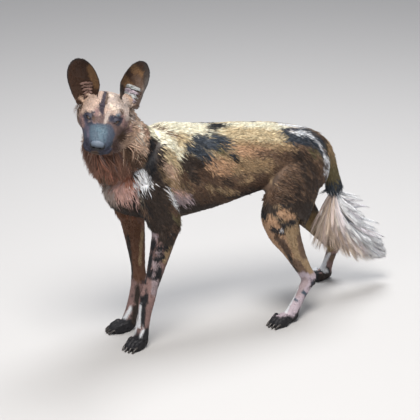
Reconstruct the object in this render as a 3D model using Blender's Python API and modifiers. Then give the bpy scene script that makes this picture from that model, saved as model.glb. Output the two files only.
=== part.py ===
"""African wild dog, life size, standing with its head turned to its left.

Metres, +Z up. The animal faces -X and its left side is toward -Y. While it is
being modelled, the origin is the floor point midway between its front paws.
The last step moves everything so that the origin is the middle of the
animal's footprint, on the floor.
"""
import math
import random

import bmesh
import bpy
import numpy as np
from mathutils import Matrix, Vector
from mathutils.bvhtree import BVHTree

GAP = 0.0003            # clear space kept between touching nodes
FINE = 0.00005          # distance at which doubled points are merged
SIDES = 28              # points round one section of a loft
STEPS = 5               # rings laid between two named sections
DENSE = 20              # the same where a place along the sections is looked up
GOLDEN_TURN = math.radians(137.5)
LEFT, RIGHT = -1, 1     # sign of Y on each side of the animal

# Remeshing of the body and of the head.
BODY_VOXEL = 0.0042
HEAD_VOXEL = 0.0026
BODY_TRIANGLES = 4700
HEAD_TRIANGLES = 2250

# Torso sections: x, top z, bottom z, half width, squareness.
TORSO = (
    (-0.058, 0.525, 0.462, 0.026, 2.0),
    (-0.042, 0.560, 0.432, 0.052, 2.1),
    (-0.008, 0.600, 0.408, 0.074, 2.2),
    (0.045, 0.640, 0.388, 0.089, 2.3),
    (0.100, 0.660, 0.376, 0.097, 2.3),
    (0.150, 0.663, 0.372, 0.102, 2.3),
    (0.220, 0.650, 0.378, 0.106, 2.3),
    (0.300, 0.638, 0.387, 0.104, 2.3),
    (0.366, 0.631, 0.398, 0.096, 2.3),
    (0.430, 0.623, 0.407, 0.087, 2.3),
    (0.490, 0.613, 0.416, 0.085, 2.3),
    (0.550, 0.599, 0.424, 0.087, 2.2),
    (0.605, 0.582, 0.435, 0.080, 2.1),
    (0.645, 0.562, 0.445, 0.060, 2.0),
    (0.672, 0.525, 0.465, 0.030, 2.0),
)

# Neck out to the tips of its coat: centre of each section, half width, half
# depth to the front and rear. Its core lies inside this by RUFF_DEPTH.
NECK = (
    ((0.110, 0.000, 0.545), 0.080, 0.120, 0.100),
    ((0.050, -0.003, 0.588), 0.080, 0.142, 0.088),
    ((0.005, -0.014, 0.635), 0.078, 0.138, 0.070),
    ((-0.028, -0.034, 0.690), 0.075, 0.112, 0.056),
    ((-0.050, -0.055, 0.732), 0.064, 0.072, 0.048),
    ((-0.066, -0.072, 0.758), 0.048, 0.044, 0.034),
)

RUFF_DEPTH = {"side": 0.007, "front": 0.022, "rear": 0.004}

# Limbs: joints from the body down, then sections as joint number along the
# limb, depth to the front, depth to the rear, half width.
FORE_JOINTS = {
    LEFT: ((0.066, -0.068, 0.520), (0.102, -0.086, 0.378),
           (0.034, -0.076, 0.150), (0.016, -0.070, 0.026)),
    RIGHT: ((0.055, 0.068, 0.520), (0.066, 0.082, 0.380),
            (0.076, 0.067, 0.147), (0.038, 0.062, 0.028)),
}
FORE_SECTIONS = (
    (0.00, 0.060, 0.070, 0.034),
    (0.45, 0.066, 0.058, 0.036),
    (0.80, 0.062, 0.046, 0.037),
    (1.00, 0.056, 0.039, 0.036),
    (1.18, 0.042, 0.033, 0.032),
    (1.50, 0.029, 0.028, 0.027),
    (1.80, 0.022, 0.023, 0.023),
    (2.00, 0.025, 0.025, 0.025),
    (2.30, 0.022, 0.021, 0.022),
    (2.70, 0.020, 0.020, 0.022),
    (3.00, 0.022, 0.021, 0.025),
)
HIND_JOINTS = {
    LEFT: ((0.585, -0.050, 0.505), (0.455, -0.088, 0.345),
           (0.577, -0.088, 0.116), (0.506, -0.112, 0.026)),
    RIGHT: ((0.592, 0.050, 0.505), (0.592, 0.088, 0.342),
            (0.784, 0.112, 0.114), (0.768, 0.130, 0.026)),
}
HIND_SECTIONS = (
    (0.00, 0.060, 0.045, 0.026),
    (0.22, 0.088, 0.080, 0.044),
    (0.45, 0.085, 0.096, 0.050),
    (0.80, 0.062, 0.106, 0.046),
    (1.00, 0.046, 0.098, 0.042),
    (1.25, 0.046, 0.060, 0.036),
    (1.50, 0.032, 0.041, 0.030),
    (1.72, 0.025, 0.031, 0.024),
    (1.90, 0.020, 0.028, 0.021),
    (2.00, 0.019, 0.032, 0.020),
    (2.20, 0.018, 0.021, 0.018),
    (2.60, 0.017, 0.018, 0.018),
    (3.00, 0.020, 0.018, 0.021),
)

# Paws: middle of the paw on the floor and the way the toes turn out, degrees.
FORE_PAWS = {LEFT: ((0.003, -0.070), 24.0), RIGHT: ((0.010, 0.060), 10.0)}
HIND_PAWS = {LEFT: ((0.467, -0.120), 14.0), RIGHT: ((0.748, 0.134), 8.0)}
PAW_LENGTH = 0.078
PAW_WIDTH = 0.050
PAW_HEIGHT = 0.036
TOE_COUNT = 4
HEEL_RADII = (0.023, 0.020, 0.023)   # the pad under the end of each leg
HEEL_HEIGHT = 0.0215
CLAW_LENGTH = 0.012

# Scapula and upper arm masses: centre (for the left side), radii, turn.
SHOULDER_CENTRE = (0.080, -0.064, 0.535)
SHOULDER_RADII = (0.060, 0.034, 0.108)
SHOULDER_LEAN = math.radians(26)
# Buttock masses: centre (for the left side), radii.
HAUNCH_CENTRE = (0.596, -0.048, 0.466)
HAUNCH_RADII = (0.073, 0.042, 0.085)

# Tail: centre of each section, half width. The first lies inside the rump.
TAIL = (
    ((0.630, 0.000, 0.545), 0.026),
    ((0.668, 0.000, 0.512), 0.025),
    ((0.692, 0.002, 0.462), 0.024),
    ((0.707, 0.005, 0.410), 0.024),
    ((0.720, 0.008, 0.362), 0.027),
    ((0.731, 0.010, 0.330), 0.030),
)
# The brush out to its hair tips: centre, half width, half depth. Its core has
# BRUSH_CORE of that size.
BRUSH_PLAIN = (
    ((0.712, 0.006, 0.388), 0.024, 0.024),
    ((0.721, 0.008, 0.358), 0.028, 0.030),
    ((0.719, 0.005, 0.322), 0.038, 0.060),
    ((0.733, 0.005, 0.286), 0.046, 0.088),
    ((0.758, 0.006, 0.247), 0.052, 0.097),
    ((0.792, 0.008, 0.205), 0.054, 0.092),
    ((0.842, 0.012, 0.157), 0.047, 0.076),
    ((0.882, 0.018, 0.122), 0.034, 0.050),
    ((0.914, 0.020, 0.100), 0.014, 0.018),
)
BRUSH_CORE = 0.46
BRUSH_CORE_END = 7       # the core stops at this section of the brush

# Locks of long hair. Each is flat, bends along the lie of the coat and tapers.
SEED = 11
LOCK_RINGS = 4
LOCK_THICK = 0.0042      # half thickness where a lock is thickest
ROOT_SINK = 0.009        # how deep a root goes into the core
RUFF_TIERS = (4.30, 3.65, 3.00, 2.35, 1.70)   # places along the neck's sections
RUFF_AROUND = 8         # locks round half of one tier
RUFF_SPAN = math.radians(155)   # how far round from the throat a tier reaches
RUFF_LENGTH = (0.064, 0.092)    # shortest and longest
RUFF_WIDTH = 0.0160      # half width
RUFF_LIFT = (0.004, 0.024)      # height of the tips over the core, at the nape and throat
RUFF_DROOP = 0.8         # how much the locks hang down rather than lie along the neck
BRUSH_LOCKS = 43
BRUSH_ROOT = 0.34        # depth of the roots, as a share of the way to the tips
BRUSH_START = 1.3        # place of the first lock along the brush's sections
BRUSH_LENGTH = (0.075, 0.115)
BRUSH_WIDTH = 0.0155
CLEAR = 0.0012           # least distance from a lock to another node

# Head frame: the point midway between the eyes, and the way the muzzle points.
EYE_MIDDLE = Vector((-0.1125, -0.1213, 0.752))
MUZZLE_WAY = Vector((-0.512, -0.798, -0.319))
HEAD_ROLL = math.radians(10.5)

# Head sections, in the head frame: forward, top, bottom, half width, squareness.
HEAD = (
    (-0.140, -0.022, -0.066, 0.030, 2.0),
    (-0.122, -0.002, -0.076, 0.047, 2.1),
    (-0.097, 0.020, -0.085, 0.058, 2.2),
    (-0.066, 0.037, -0.087, 0.066, 2.3),
    (-0.036, 0.043, -0.083, 0.069, 2.4),
    (-0.012, 0.037, -0.079, 0.065, 2.4),
    (0.008, 0.022, -0.075, 0.057, 2.4),
    (0.028, 0.009, -0.072, 0.050, 2.5),
    (0.052, -0.001, -0.069, 0.044, 2.6),
    (0.076, -0.006, -0.065, 0.037, 2.7),
    (0.092, -0.010, -0.061, 0.030, 2.5),
    (0.102, -0.018, -0.052, 0.020, 2.2),
)
# Eyes, in the head frame: sideways, forward, up.
EYE_SPREAD = 0.0365      # from the middle of the face to each eye
EYE_FORWARD = 0.0085
EYE_RADIUS = 0.0118
EYE_OUTWARD = math.radians(24)
EYE_UPWARD = math.radians(22)
LID_THICK = 0.0029
LID_REACH = math.radians(62)
UPPER_LID = math.radians(48)
LOWER_LID = math.radians(-40)

# Masses of the head on each side: sideways, forward, up, then three radii.
HEAD_MASSES = {
    "cheek": ((0.042, -0.048, -0.036), (0.029, 0.044, 0.042)),
    "cheekbone": ((0.045, -0.030, -0.012), (0.019, 0.034, 0.015)),
    "brow": ((0.033, -0.008, 0.0145), (0.021, 0.018, 0.0105)),
    "lip": ((0.024, 0.066, -0.045), (0.0180, 0.034, 0.0145)),
    "ear_root": ((0.046, -0.082, 0.008), (0.026, 0.024, 0.022)),
}
NOSE_CENTRE = (0.0, 0.0985, -0.0205)
NOSE_RADII = (0.0205, 0.0145, 0.0145)
NOSTRIL = (0.0095, 0.1105, -0.0230)
NOSTRIL_RADII = (0.0040, 0.0080, 0.0032)
# The line of the mouth, from under the nose to the corner.
MOUTH = ((0.000, 0.112, -0.0455), (0.012, 0.104, -0.0475), (0.022, 0.090, -0.0520),
         (0.031, 0.066, -0.0540), (0.038, 0.040, -0.0530), (0.044, 0.020, -0.0470))
MOUTH_GROOVE = 0.0013

# Ears, in the head frame.
EAR_HEIGHT = {LEFT: 0.139, RIGHT: 0.128}
EAR_WIDTH = {LEFT: 0.098, RIGHT: 0.093}
EAR_WALL = 0.0036
EAR_ROOT = {LEFT: (0.044, -0.066, 0.004), RIGHT: (0.050, -0.066, 0.004)}
EAR_BASE_WIDTH = {LEFT: 0.50, RIGHT: 0.42}    # as a share of the greatest width
EAR_CUP = 0.036          # how far the edges stand forward of the middle
EAR_LEAN = {LEFT: math.radians(32), RIGHT: math.radians(18)}
EAR_TURN = {LEFT: math.radians(33), RIGHT: math.radians(6)}
EAR_BACK = {LEFT: math.radians(28), RIGHT: math.radians(8)}
EAR_SKEW = {LEFT: 0.046, RIGHT: 0.016}   # how far the tip leans out beyond the ear's own middle

# Cuts between the nodes: a point on the cut, its normal, its radius.
NECK_BASE_CUT = (Vector((0.035, 0.0, 0.595)), Vector((-0.72, -0.06, 0.69)).normalized(), 0.190)
NECK_TOP_CUT = (Vector((-0.048, -0.040, 0.722)), Vector((-0.60, -0.72, 0.35)).normalized(), 0.150)
TAIL_CUT = (Vector((0.690, 0.002, 0.466)), Vector((0.34, 0.02, -0.94)).normalized(), 0.037)
BRUSH_CUT = (Vector((0.721, 0.008, 0.360)), Vector((0.26, 0.06, -0.96)).normalized(), 0.060)
# Level round cuts through the legs: a point on the cut, its normal, its radius.
UP = Vector((0, 0, 1))
LEG_CUTS = {
    "fore_cut": (Vector((0.100, 0.0, 0.362)), UP, 0.160),
    "hind_cut_left": (Vector((0.535, -0.096, 0.392)), UP, 0.124),
    "hind_cut_right": (Vector((0.605, 0.096, 0.392)), UP, 0.118),
}

# Finish of each node: colour and roughness.
TAN_COAT = ((0.30, 0.19, 0.10), 0.85)
MOTTLED_COAT = ((0.12, 0.085, 0.055), 0.85)
FACE_COAT = ((0.40, 0.31, 0.25), 0.80)
RUFF_COAT = ((0.34, 0.17, 0.10), 0.85)
PALE_COAT = ((0.72, 0.66, 0.60), 0.85)
EAR_COAT = ((0.055, 0.040, 0.032), 0.80)
LEG_COAT = ((0.42, 0.34, 0.29), 0.85)
EYE_GLOSS = ((0.030, 0.018, 0.010), 0.08)
FINISH = {
    "torso": MOTTLED_COAT, "neck": RUFF_COAT, "head": FACE_COAT,
    "ear_left": EAR_COAT, "ear_right": EAR_COAT,
    "eye_left": EYE_GLOSS, "eye_right": EYE_GLOSS,
    "foreleg_left": LEG_COAT, "foreleg_right": LEG_COAT,
    "hindleg_left": MOTTLED_COAT, "hindleg_right": MOTTLED_COAT,
    "tail": TAN_COAT, "tail_brush": PALE_COAT,
}


def clear_scene():
    for thing in list(bpy.data.objects):
        bpy.data.objects.remove(thing, do_unlink=True)


def collection(name):
    made = bpy.data.collections.new(name)
    bpy.context.scene.collection.children.link(made)
    return made


def material(name, colour, roughness, metallic=0.0):
    made = bpy.data.materials.new(name)
    made.use_nodes = True
    shader = made.node_tree.nodes["Principled BSDF"]
    shader.inputs["Base Color"].default_value = (*colour, 1.0)
    shader.inputs["Roughness"].default_value = roughness
    shader.inputs["Metallic"].default_value = metallic
    return made


def smooth_rows(rows, steps=STEPS):
    """Rows of numbers with more rows laid between them on a smooth curve."""
    rows = np.array(rows, float)
    ends = np.vstack([2 * rows[0] - rows[1], rows, 2 * rows[-1] - rows[-2]])
    out = []
    for i in range(1, len(rows)):
        a, b, c, d = ends[i - 1:i + 3]
        for t in np.arange(steps) / steps:
            out.append(0.5 * (2 * b + (c - a) * t + (2 * a - 5 * b + 4 * c - d) * t * t
                              + (3 * b - 3 * c + d - a) * t ** 3))
    out.append(rows[-1])
    return np.array(out)


def section(centre, across, upward, half, up, down, square=2.0, sides=SIDES):
    """One closed ring; its upper and lower halves may differ in height."""
    points = []
    for i in range(sides):
        turn = 2 * math.pi * i / sides
        c, s = math.cos(turn), math.sin(turn)
        width = half * math.copysign(abs(c) ** (2 / square), c)
        height = (up if s > 0 else down) * math.copysign(abs(s) ** (2 / square), s)
        points.append(Vector(centre) + Vector(across) * width + Vector(upward) * height)
    return points


def loft(name, rings, where):
    """A closed body through rings that all have the same number of points."""
    bm = bmesh.new()
    loops = [[bm.verts.new(point) for point in ring] for ring in rings]
    count = len(loops[0])
    for low, high in zip(loops, loops[1:]):
        for i in range(count):
            j = (i + 1) % count
            bm.faces.new((low[i], low[j], high[j], high[i]))
    bm.faces.new(loops[0][::-1])
    bm.faces.new(loops[-1])
    bmesh.ops.recalc_face_normals(bm, faces=bm.faces)
    return from_bmesh(name, bm, where)


def from_bmesh(name, bm, where):
    mesh = bpy.data.meshes.new(name)
    bm.to_mesh(mesh)
    bm.free()
    made = bpy.data.objects.new(name, mesh)
    where.objects.link(made)
    return made


def ball(name, centre, radii, turn, where, segments=24, rings=16):
    """An ellipsoid, turned by a rotation matrix and then moved to its centre."""
    bm = bmesh.new()
    bmesh.ops.create_uvsphere(bm, u_segments=segments, v_segments=rings, radius=1.0)
    shape = Matrix.Translation(centre) @ turn.to_4x4() @ Matrix.Diagonal((*radii, 1.0))
    bmesh.ops.transform(bm, matrix=shape, verts=bm.verts)
    return from_bmesh(name, bm, where)


def horizontal_loft(name, rows, where):
    """A loft along X from rows of x, top, bottom, half width, squareness."""
    rings = []
    for x, top, bottom, half, square in smooth_rows(rows):
        middle = 0.45 * top + 0.55 * bottom
        rings.append(section((x, 0, middle), (0, 1, 0), (0, 0, 1), half, top - middle,
                             middle - bottom, square))
    return loft(name, rings, where)


def path_loft(name, centres, widths, fronts, rears, where, front_way=Vector((-1, 0, 0))):
    """A loft along a path; fronts and rears are depths in the limb's own plane."""
    rings = []
    last = len(centres) - 1
    for i, centre in enumerate(centres):
        along = (centres[min(i + 1, last)] - centres[max(i - 1, 0)]).normalized()
        across = along.cross(front_way).normalized()
        forward = across.cross(along).normalized()
        rings.append(section(centre, across, forward, widths[i], fronts[i], rears[i], 2.1))
    return loft(name, rings, where)


def limb(name, joints, sections, where):
    """A leg from its joints and its sections."""
    path = np.array(joints)
    rows = smooth_rows(sections)
    centres = []
    for t in rows[:, 0]:
        i = min(int(t), len(path) - 2)
        centres.append(Vector(path[i] + (path[i + 1] - path[i]) * (t - i)))
    for _ in range(2):
        centres = ([centres[0]]
                   + [(a + b * 2 + c) / 4 for a, b, c in zip(centres, centres[1:], centres[2:])]
                   + [centres[-1]])
    return path_loft(name, centres, rows[:, 3], rows[:, 1], rows[:, 2], where)


def paw(name, middle, turn_out, side, where):
    """A pad, four toes and their claws, on the floor."""
    heading = Matrix.Rotation(-side * math.radians(turn_out), 3, "Z")
    base = Vector((middle[0], middle[1], 0))
    made = []
    pad = Vector((PAW_LENGTH * 0.16, 0, PAW_HEIGHT * 0.42))
    made.append(ball(name + "_pad", base + heading @ pad,
                     (PAW_LENGTH * 0.34, PAW_WIDTH * 0.44, PAW_HEIGHT * 0.56), heading, where))
    for toe in range(TOE_COUNT):
        across = (toe - (TOE_COUNT - 1) / 2) / TOE_COUNT
        inner = 1 - abs(across) * 1.3
        reach = -PAW_LENGTH * (0.08 + 0.13 * inner)
        centre = Vector((reach, across * PAW_WIDTH * 0.98, PAW_HEIGHT * 0.34))
        spread = heading @ Matrix.Rotation(across * 0.42, 3, "Z") @ Matrix.Rotation(-0.22, 3, "Y")
        made.append(ball(f"{name}_toe{toe}", base + heading @ centre,
                         (PAW_LENGTH * 0.30, PAW_WIDTH * 0.155, PAW_HEIGHT * 0.44), spread, where))
        claw_root = Vector((reach - PAW_LENGTH * 0.25, across * PAW_WIDTH * 1.12, PAW_HEIGHT * 0.30))
        made.append(ball(f"{name}_claw{toe}", base + heading @ claw_root,
                         (CLAW_LENGTH, 0.0042, 0.0048), spread, where))
    return made


def fuse(name, pieces, voxel, triangles, smoothing, where):
    """Joins overlapping closed pieces into one skin, then thins it."""
    bm = bmesh.new()
    for piece in pieces:
        bm.from_mesh(piece.data)
    for piece in pieces:
        bpy.data.objects.remove(piece, do_unlink=True)
    blank = from_bmesh(name, bm, where)
    skin = blank.modifiers.new("Skin", "REMESH")
    skin.mode = "VOXEL"
    skin.voxel_size = voxel
    soften = blank.modifiers.new("Soften", "SMOOTH")
    soften.factor = 0.5
    soften.iterations = smoothing
    settle(blank)
    thin = blank.modifiers.new("Thin", "DECIMATE")
    thin.ratio = triangles / (2 * len(blank.data.polygons))
    settle(blank)
    return blank


def settle(thing):
    """Applies an object's modifiers."""
    bpy.context.view_layer.update()
    graph = bpy.context.evaluated_depsgraph_get()
    mesh = bpy.data.meshes.new_from_object(thing.evaluated_get(graph))
    thing.modifiers.clear()
    thing.data = mesh


def boolean(thing, cutter, operation, solver="MANIFOLD"):
    """MANIFOLD, because EXACT loses one of the legs when the body is cut."""
    cut = thing.modifiers.new("Cut", "BOOLEAN")
    cut.object = cutter
    cut.operation = operation
    cut.solver = solver
    settle(thing)


def mark_cutter(thing):
    thing.hide_render = True
    thing.display_type = "WIRE"
    return thing


def disc(name, point, normal, radius, where, thickness=GAP):
    """A thin round blade."""
    bm = bmesh.new()
    bmesh.ops.create_cone(bm, cap_ends=True, segments=48, radius1=radius, radius2=radius,
                          depth=thickness)
    turn = normal.to_track_quat("Z", "Y").to_matrix().to_4x4()
    bmesh.ops.transform(bm, matrix=Matrix.Translation(point) @ turn, verts=bm.verts)
    return mark_cutter(from_bmesh(name, bm, where))


def keep_beyond(thing, cut, where):
    """Keeps what lies on the far side of a cut, half a gap away from it."""
    point, normal, _ = cut
    deep = 0.3
    near = disc("near_" + thing.name, point - normal * (deep - GAP) / 2, normal, 2 * deep, where, deep)
    boolean(thing, near, "DIFFERENCE")
    keep_largest(thing)


def box(name, low, high, where):
    bm = bmesh.new()
    bmesh.ops.create_cube(bm, size=1.0)
    low, high = Vector(low), Vector(high)
    shape = Matrix.Translation((low + high) / 2) @ Matrix.Diagonal((*(high - low), 1.0))
    bmesh.ops.transform(bm, matrix=shape, verts=bm.verts)
    return mark_cutter(from_bmesh(name, bm, where))


def islands(mesh):
    """Lists the closed surfaces of a mesh as sets of face numbers, largest first."""
    parent = list(range(len(mesh.vertices)))

    def root(i):
        while parent[i] != i:
            parent[i] = parent[parent[i]]
            i = parent[i]
        return i

    for a, b in (edge.vertices for edge in mesh.edges):
        parent[root(a)] = root(b)
    groups = {}
    for face in mesh.polygons:
        groups.setdefault(root(face.vertices[0]), []).append(face.index)
    return sorted(groups.values(), key=len, reverse=True)


def island_mesh(name, mesh, faces):
    """A new mesh of some of a mesh's faces."""
    keep = set(faces)
    bm = bmesh.new()
    bm.from_mesh(mesh)
    bm.faces.ensure_lookup_table()
    drop = [face for face in bm.faces if face.index not in keep]
    bmesh.ops.delete(bm, geom=drop, context="FACES")
    made = bpy.data.meshes.new(name)
    bm.to_mesh(made)
    bm.free()
    return made


def keep_largest(thing):
    groups = islands(thing.data)
    if len(groups) > 1:
        thing.data = island_mesh(thing.name, thing.data, groups[0])


def name_of_part(centre):
    """The node that a loose part of the body belongs to, by where it lies."""
    for point, normal, _ in (NECK_TOP_CUT, BRUSH_CUT):
        if (centre - point).dot(normal) > 0 and (centre - point).length < 0.1:
            return None
    if centre.z < 0.30 and centre.x < 0.25:
        return "foreleg_left" if centre.y < 0 else "foreleg_right"
    if centre.z < 0.34 and centre.x > 0.35 and abs(centre.y) > 0.04:
        return "hindleg_left" if centre.y < 0 else "hindleg_right"
    if centre.x > 0.66:
        return "tail"
    return "neck" if centre.x < 0.05 else "torso"


def head_matrix():
    """From the head frame (the animal's right, forward, up) to the model's."""
    forward = MUZZLE_WAY.normalized()
    right = forward.cross(Vector((0, 0, 1))).normalized()
    up = right.cross(forward)
    tilted_right = right * math.cos(HEAD_ROLL) + up * math.sin(HEAD_ROLL)
    tilted_up = up * math.cos(HEAD_ROLL) - right * math.sin(HEAD_ROLL)
    turn = Matrix((tilted_right, forward, tilted_up)).transposed()
    return Matrix.Translation(EYE_MIDDLE) @ turn.to_4x4()


def neck_core(name, where):
    rows = smooth_rows([(*centre, half - RUFF_DEPTH["side"], front - RUFF_DEPTH["front"],
                         rear - RUFF_DEPTH["rear"]) for centre, half, front, rear in NECK])
    centres = [Vector(row[:3]) for row in rows]
    return path_loft(name, centres, rows[:, 3], rows[:, 4], rows[:, 5], where)


def tube_loft(name, stations, where):
    rows = smooth_rows([(*centre, half) for centre, half in stations])
    centres = [Vector(row[:3]) for row in rows]
    return path_loft(name, centres, rows[:, 3], rows[:, 3], rows[:, 3], where)


def brush_core(name, where):
    """The dense inner part of the brush; its start keeps the tail's own size."""
    rows = []
    for i, (centre, half, depth) in enumerate(BRUSH_PLAIN[:BRUSH_CORE_END + 1]):
        share = 1.0 if i == 0 else BRUSH_CORE + (1 - BRUSH_CORE) * max(0.0, 1 - i / 3)
        rows.append((*centre, half * share, depth * share))
    rows = smooth_rows(rows, 3)
    centres = [Vector(row[:3]) for row in rows]
    rings = []
    last = len(centres) - 1
    for i, centre in enumerate(centres):
        along = (centres[min(i + 1, last)] - centres[max(i - 1, 0)]).normalized()
        across = along.cross(Vector((-1, 0, 0))).normalized()
        rings.append(section(centre, across, across.cross(along), rows[i, 3], rows[i, 4],
                             rows[i, 4], 2.0, 14))
    return loft(name, rings, where)


def lock(name, path, faces_out, half_width, where):
    """A flat tapered lock: rings of four points along a path, closed by a tip."""
    bm = bmesh.new()
    rings = []
    for i in range(LOCK_RINGS):
        share = i / LOCK_RINGS
        along = (path[i + 1] - path[i]).normalized()
        out = (faces_out[i] - along * faces_out[i].dot(along)).normalized()
        across = along.cross(out)
        wide = half_width * (0.72 + 0.9 * share - 1.25 * share * share)
        thick = LOCK_THICK * (1.0 - 0.55 * share)
        rings.append([bm.verts.new(path[i] + across * wide), bm.verts.new(path[i] + out * thick),
                      bm.verts.new(path[i] - across * wide), bm.verts.new(path[i] - out * thick)])
    for low, high in zip(rings, rings[1:]):
        for i in range(4):
            j = (i + 1) % 4
            bm.faces.new((low[i], low[j], high[j], high[i]))
    end = bm.verts.new(path[LOCK_RINGS])
    for i in range(4):
        bm.faces.new((rings[-1][i], rings[-1][(i + 1) % 4], end))
    bm.faces.new(rings[0][::-1])
    bmesh.ops.triangulate(bm, faces=bm.faces)
    bmesh.ops.recalc_face_normals(bm, faces=bm.faces)
    return from_bmesh(name, bm, where)


def near(points, surface, clear):
    """True where a point lies within a distance of a surface, or inside it."""
    for point in points:
        spot, normal, _, away = surface.find_nearest(point)
        if away < clear or (point - spot).dot(normal) < 0:
            return True
    return False


def ruff_locks(body, head, draw, where):
    """Tiers of locks round the neck, each laid along the body's own surface."""
    surface = surface_of(body)
    face = surface_of(head)
    rows = smooth_rows([(*centre, half, front, rear) for centre, half, front, rear in NECK], DENSE)
    made = []
    for tier, place in enumerate(RUFF_TIERS):
        centre = Vector(rows[int(place * DENSE)][:3])
        below = Vector(rows[int((place - 0.9) * DENSE)][:3])
        down_neck = (below - centre).normalized()
        across = down_neck.cross(Vector((1, 0, 0))).normalized()
        front = across.cross(down_neck).normalized()
        if front.x > 0:
            front = -front
        for i in range(2 * RUFF_AROUND + 1):
            share = (i - RUFF_AROUND + 0.5 * (tier % 2) + draw.uniform(-0.18, 0.18)) / RUFF_AROUND
            if abs(share) > 1:
                continue
            turn = share * RUFF_SPAN
            way = front * math.cos(turn) + across * math.sin(turn)
            start = centre + down_neck * draw.uniform(-0.009, 0.009)
            spot, normal, _, _ = surface.ray_cast(start, way)
            if spot is None or not between_neck_cuts(spot, 0.012):
                continue
            throat = 0.5 + 0.5 * math.cos(turn)
            length = RUFF_LENGTH[0] + (RUFF_LENGTH[1] - RUFF_LENGTH[0]) * throat
            length *= draw.uniform(0.82, 1.12)
            lift = (RUFF_LIFT[0] + (RUFF_LIFT[1] - RUFF_LIFT[0]) * throat) * draw.uniform(0.85, 1.15)
            lie = down_neck + Vector((0, 0, -RUFF_DROOP)) + across * draw.uniform(-0.14, 0.14)
            path, outs = laid_path(surface, spot, normal, lie, length, lift)
            if near(path[1:], face, CLEAR + LOCK_THICK):
                continue
            made.append(lock(f"ruff_{len(made)}", path, outs, RUFF_WIDTH * draw.uniform(0.85, 1.15), where))
    return made


def laid_path(surface, spot, normal, lie, length, lift):
    """Points that start under a surface, then follow it and rise to a height."""
    path = [spot - normal * ROOT_SINK]
    outs = [normal]
    walker = spot
    step = length / LOCK_RINGS
    for i in range(1, LOCK_RINGS + 1):
        share = i / LOCK_RINGS
        way = (lie - normal * lie.dot(normal)).normalized()
        walker, normal, _, _ = surface.find_nearest(walker + way * step)
        path.append(walker + normal * (CLEAR + LOCK_THICK + lift * share))
        outs.append(normal)
    return path, outs


def between_neck_cuts(spot, clear):
    """True where a spot lies on the neck, away from both of its cuts."""
    low, high = NECK_BASE_CUT, NECK_TOP_CUT
    return (spot - low[0]).dot(low[1]) > clear and (spot - high[0]).dot(high[1]) < -clear


def brush_locks(draw, where):
    """Locks set on a spiral round the brush's core, fanned out to its outline."""
    rows = smooth_rows([(*centre, half, depth) for centre, half, depth in BRUSH_PLAIN], DENSE)
    spacing = np.linalg.norm(np.diff(rows[:, :3], axis=0), axis=1)
    arc = np.concatenate([[0.0], np.cumsum(spacing)])

    def row_at(distance):
        return [float(np.interp(distance, arc, column)) for column in rows.T]

    first, last = arc[int(BRUSH_START * DENSE)], arc[int((BRUSH_CORE_END - 0.25) * DENSE)]
    made = []
    for i in range(BRUSH_LOCKS):
        share = (i + 0.5) / BRUSH_LOCKS
        root = first + (last - first) * share
        x, y, z, half, depth = row_at(root)
        along = (Vector(row_at(root + 0.01)[:3]) - Vector((x, y, z))).normalized()
        across = along.cross(Vector((-1, 0, 0))).normalized()
        upper = across.cross(along).normalized()
        turn = i * GOLDEN_TURN + draw.uniform(-0.2, 0.2)
        out = across * math.cos(turn) * half + upper * math.sin(turn) * depth
        reach = out.length
        out.normalize()
        length = min(draw.uniform(*BRUSH_LENGTH), (arc[-1] - root) * draw.uniform(0.84, 0.98))
        path = []
        for step in range(LOCK_RINGS + 1):
            t = step / LOCK_RINGS
            x, y, z, half, depth = row_at(root + t * length)
            girth = math.hypot(half * math.cos(turn), depth * math.sin(turn))
            girth = min(girth, reach) if step < 2 else girth
            rise = BRUSH_ROOT + (1 - BRUSH_ROOT) * t ** 0.75
            path.append(Vector((x, y, z)) + out * girth * rise)
        made.append(lock(f"brush_{i}", path, [out] * len(path),
                         BRUSH_WIDTH * draw.uniform(0.85, 1.15), where))
    return made


def surface_of(thing):
    return BVHTree.FromObject(thing, bpy.context.evaluated_depsgraph_get())


def join_locks(thing, locks):
    """Unites a node with its locks and removes the separate ones."""
    group = collection(thing.name + "_locks")
    for piece in locks:
        for holder in list(piece.users_collection):
            holder.objects.unlink(piece)
        group.objects.link(piece)
    join = thing.modifiers.new("Join", "BOOLEAN")
    join.operation = "UNION"
    join.operand_type = "COLLECTION"
    join.collection = group
    join.solver = "MANIFOLD"
    settle(thing)
    for piece in locks:
        bpy.data.objects.remove(piece, do_unlink=True)
    bpy.data.collections.remove(group)
    keep_largest(thing)


def body_pieces(where):
    pieces = [horizontal_loft("torso_form", TORSO, where), neck_core("neck_form", where),
              tube_loft("tail_form", TAIL, where)]
    for side in (LEFT, RIGHT):
        tag = "left" if side == LEFT else "right"
        centre = Vector(SHOULDER_CENTRE) * Vector((1, -side, 1))
        lean = Matrix.Rotation(SHOULDER_LEAN, 3, "Y")
        pieces.append(ball("shoulder_" + tag, centre, SHOULDER_RADII, lean, where))
        haunch = Vector(HAUNCH_CENTRE) * Vector((1, -side, 1))
        pieces.append(ball("haunch_" + tag, haunch, HAUNCH_RADII, Matrix.Identity(3), where))
        pieces.append(limb("fore_" + tag, FORE_JOINTS[side], FORE_SECTIONS, where))
        pieces.append(limb("hind_" + tag, HIND_JOINTS[side], HIND_SECTIONS, where))
        for kind, joints, paws in (("fore", FORE_JOINTS, FORE_PAWS), ("hind", HIND_JOINTS, HIND_PAWS)):
            middle, turn_out = paws[side]
            pieces += paw(f"{kind}_paw_{tag}", middle, turn_out, side, where)
            end = Vector(joints[side][-1])
            pieces.append(ball(f"{kind}_heel_{tag}", (end.x, end.y, HEEL_HEIGHT), HEEL_RADII,
                               Matrix.Identity(3), where))
    return pieces


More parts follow.
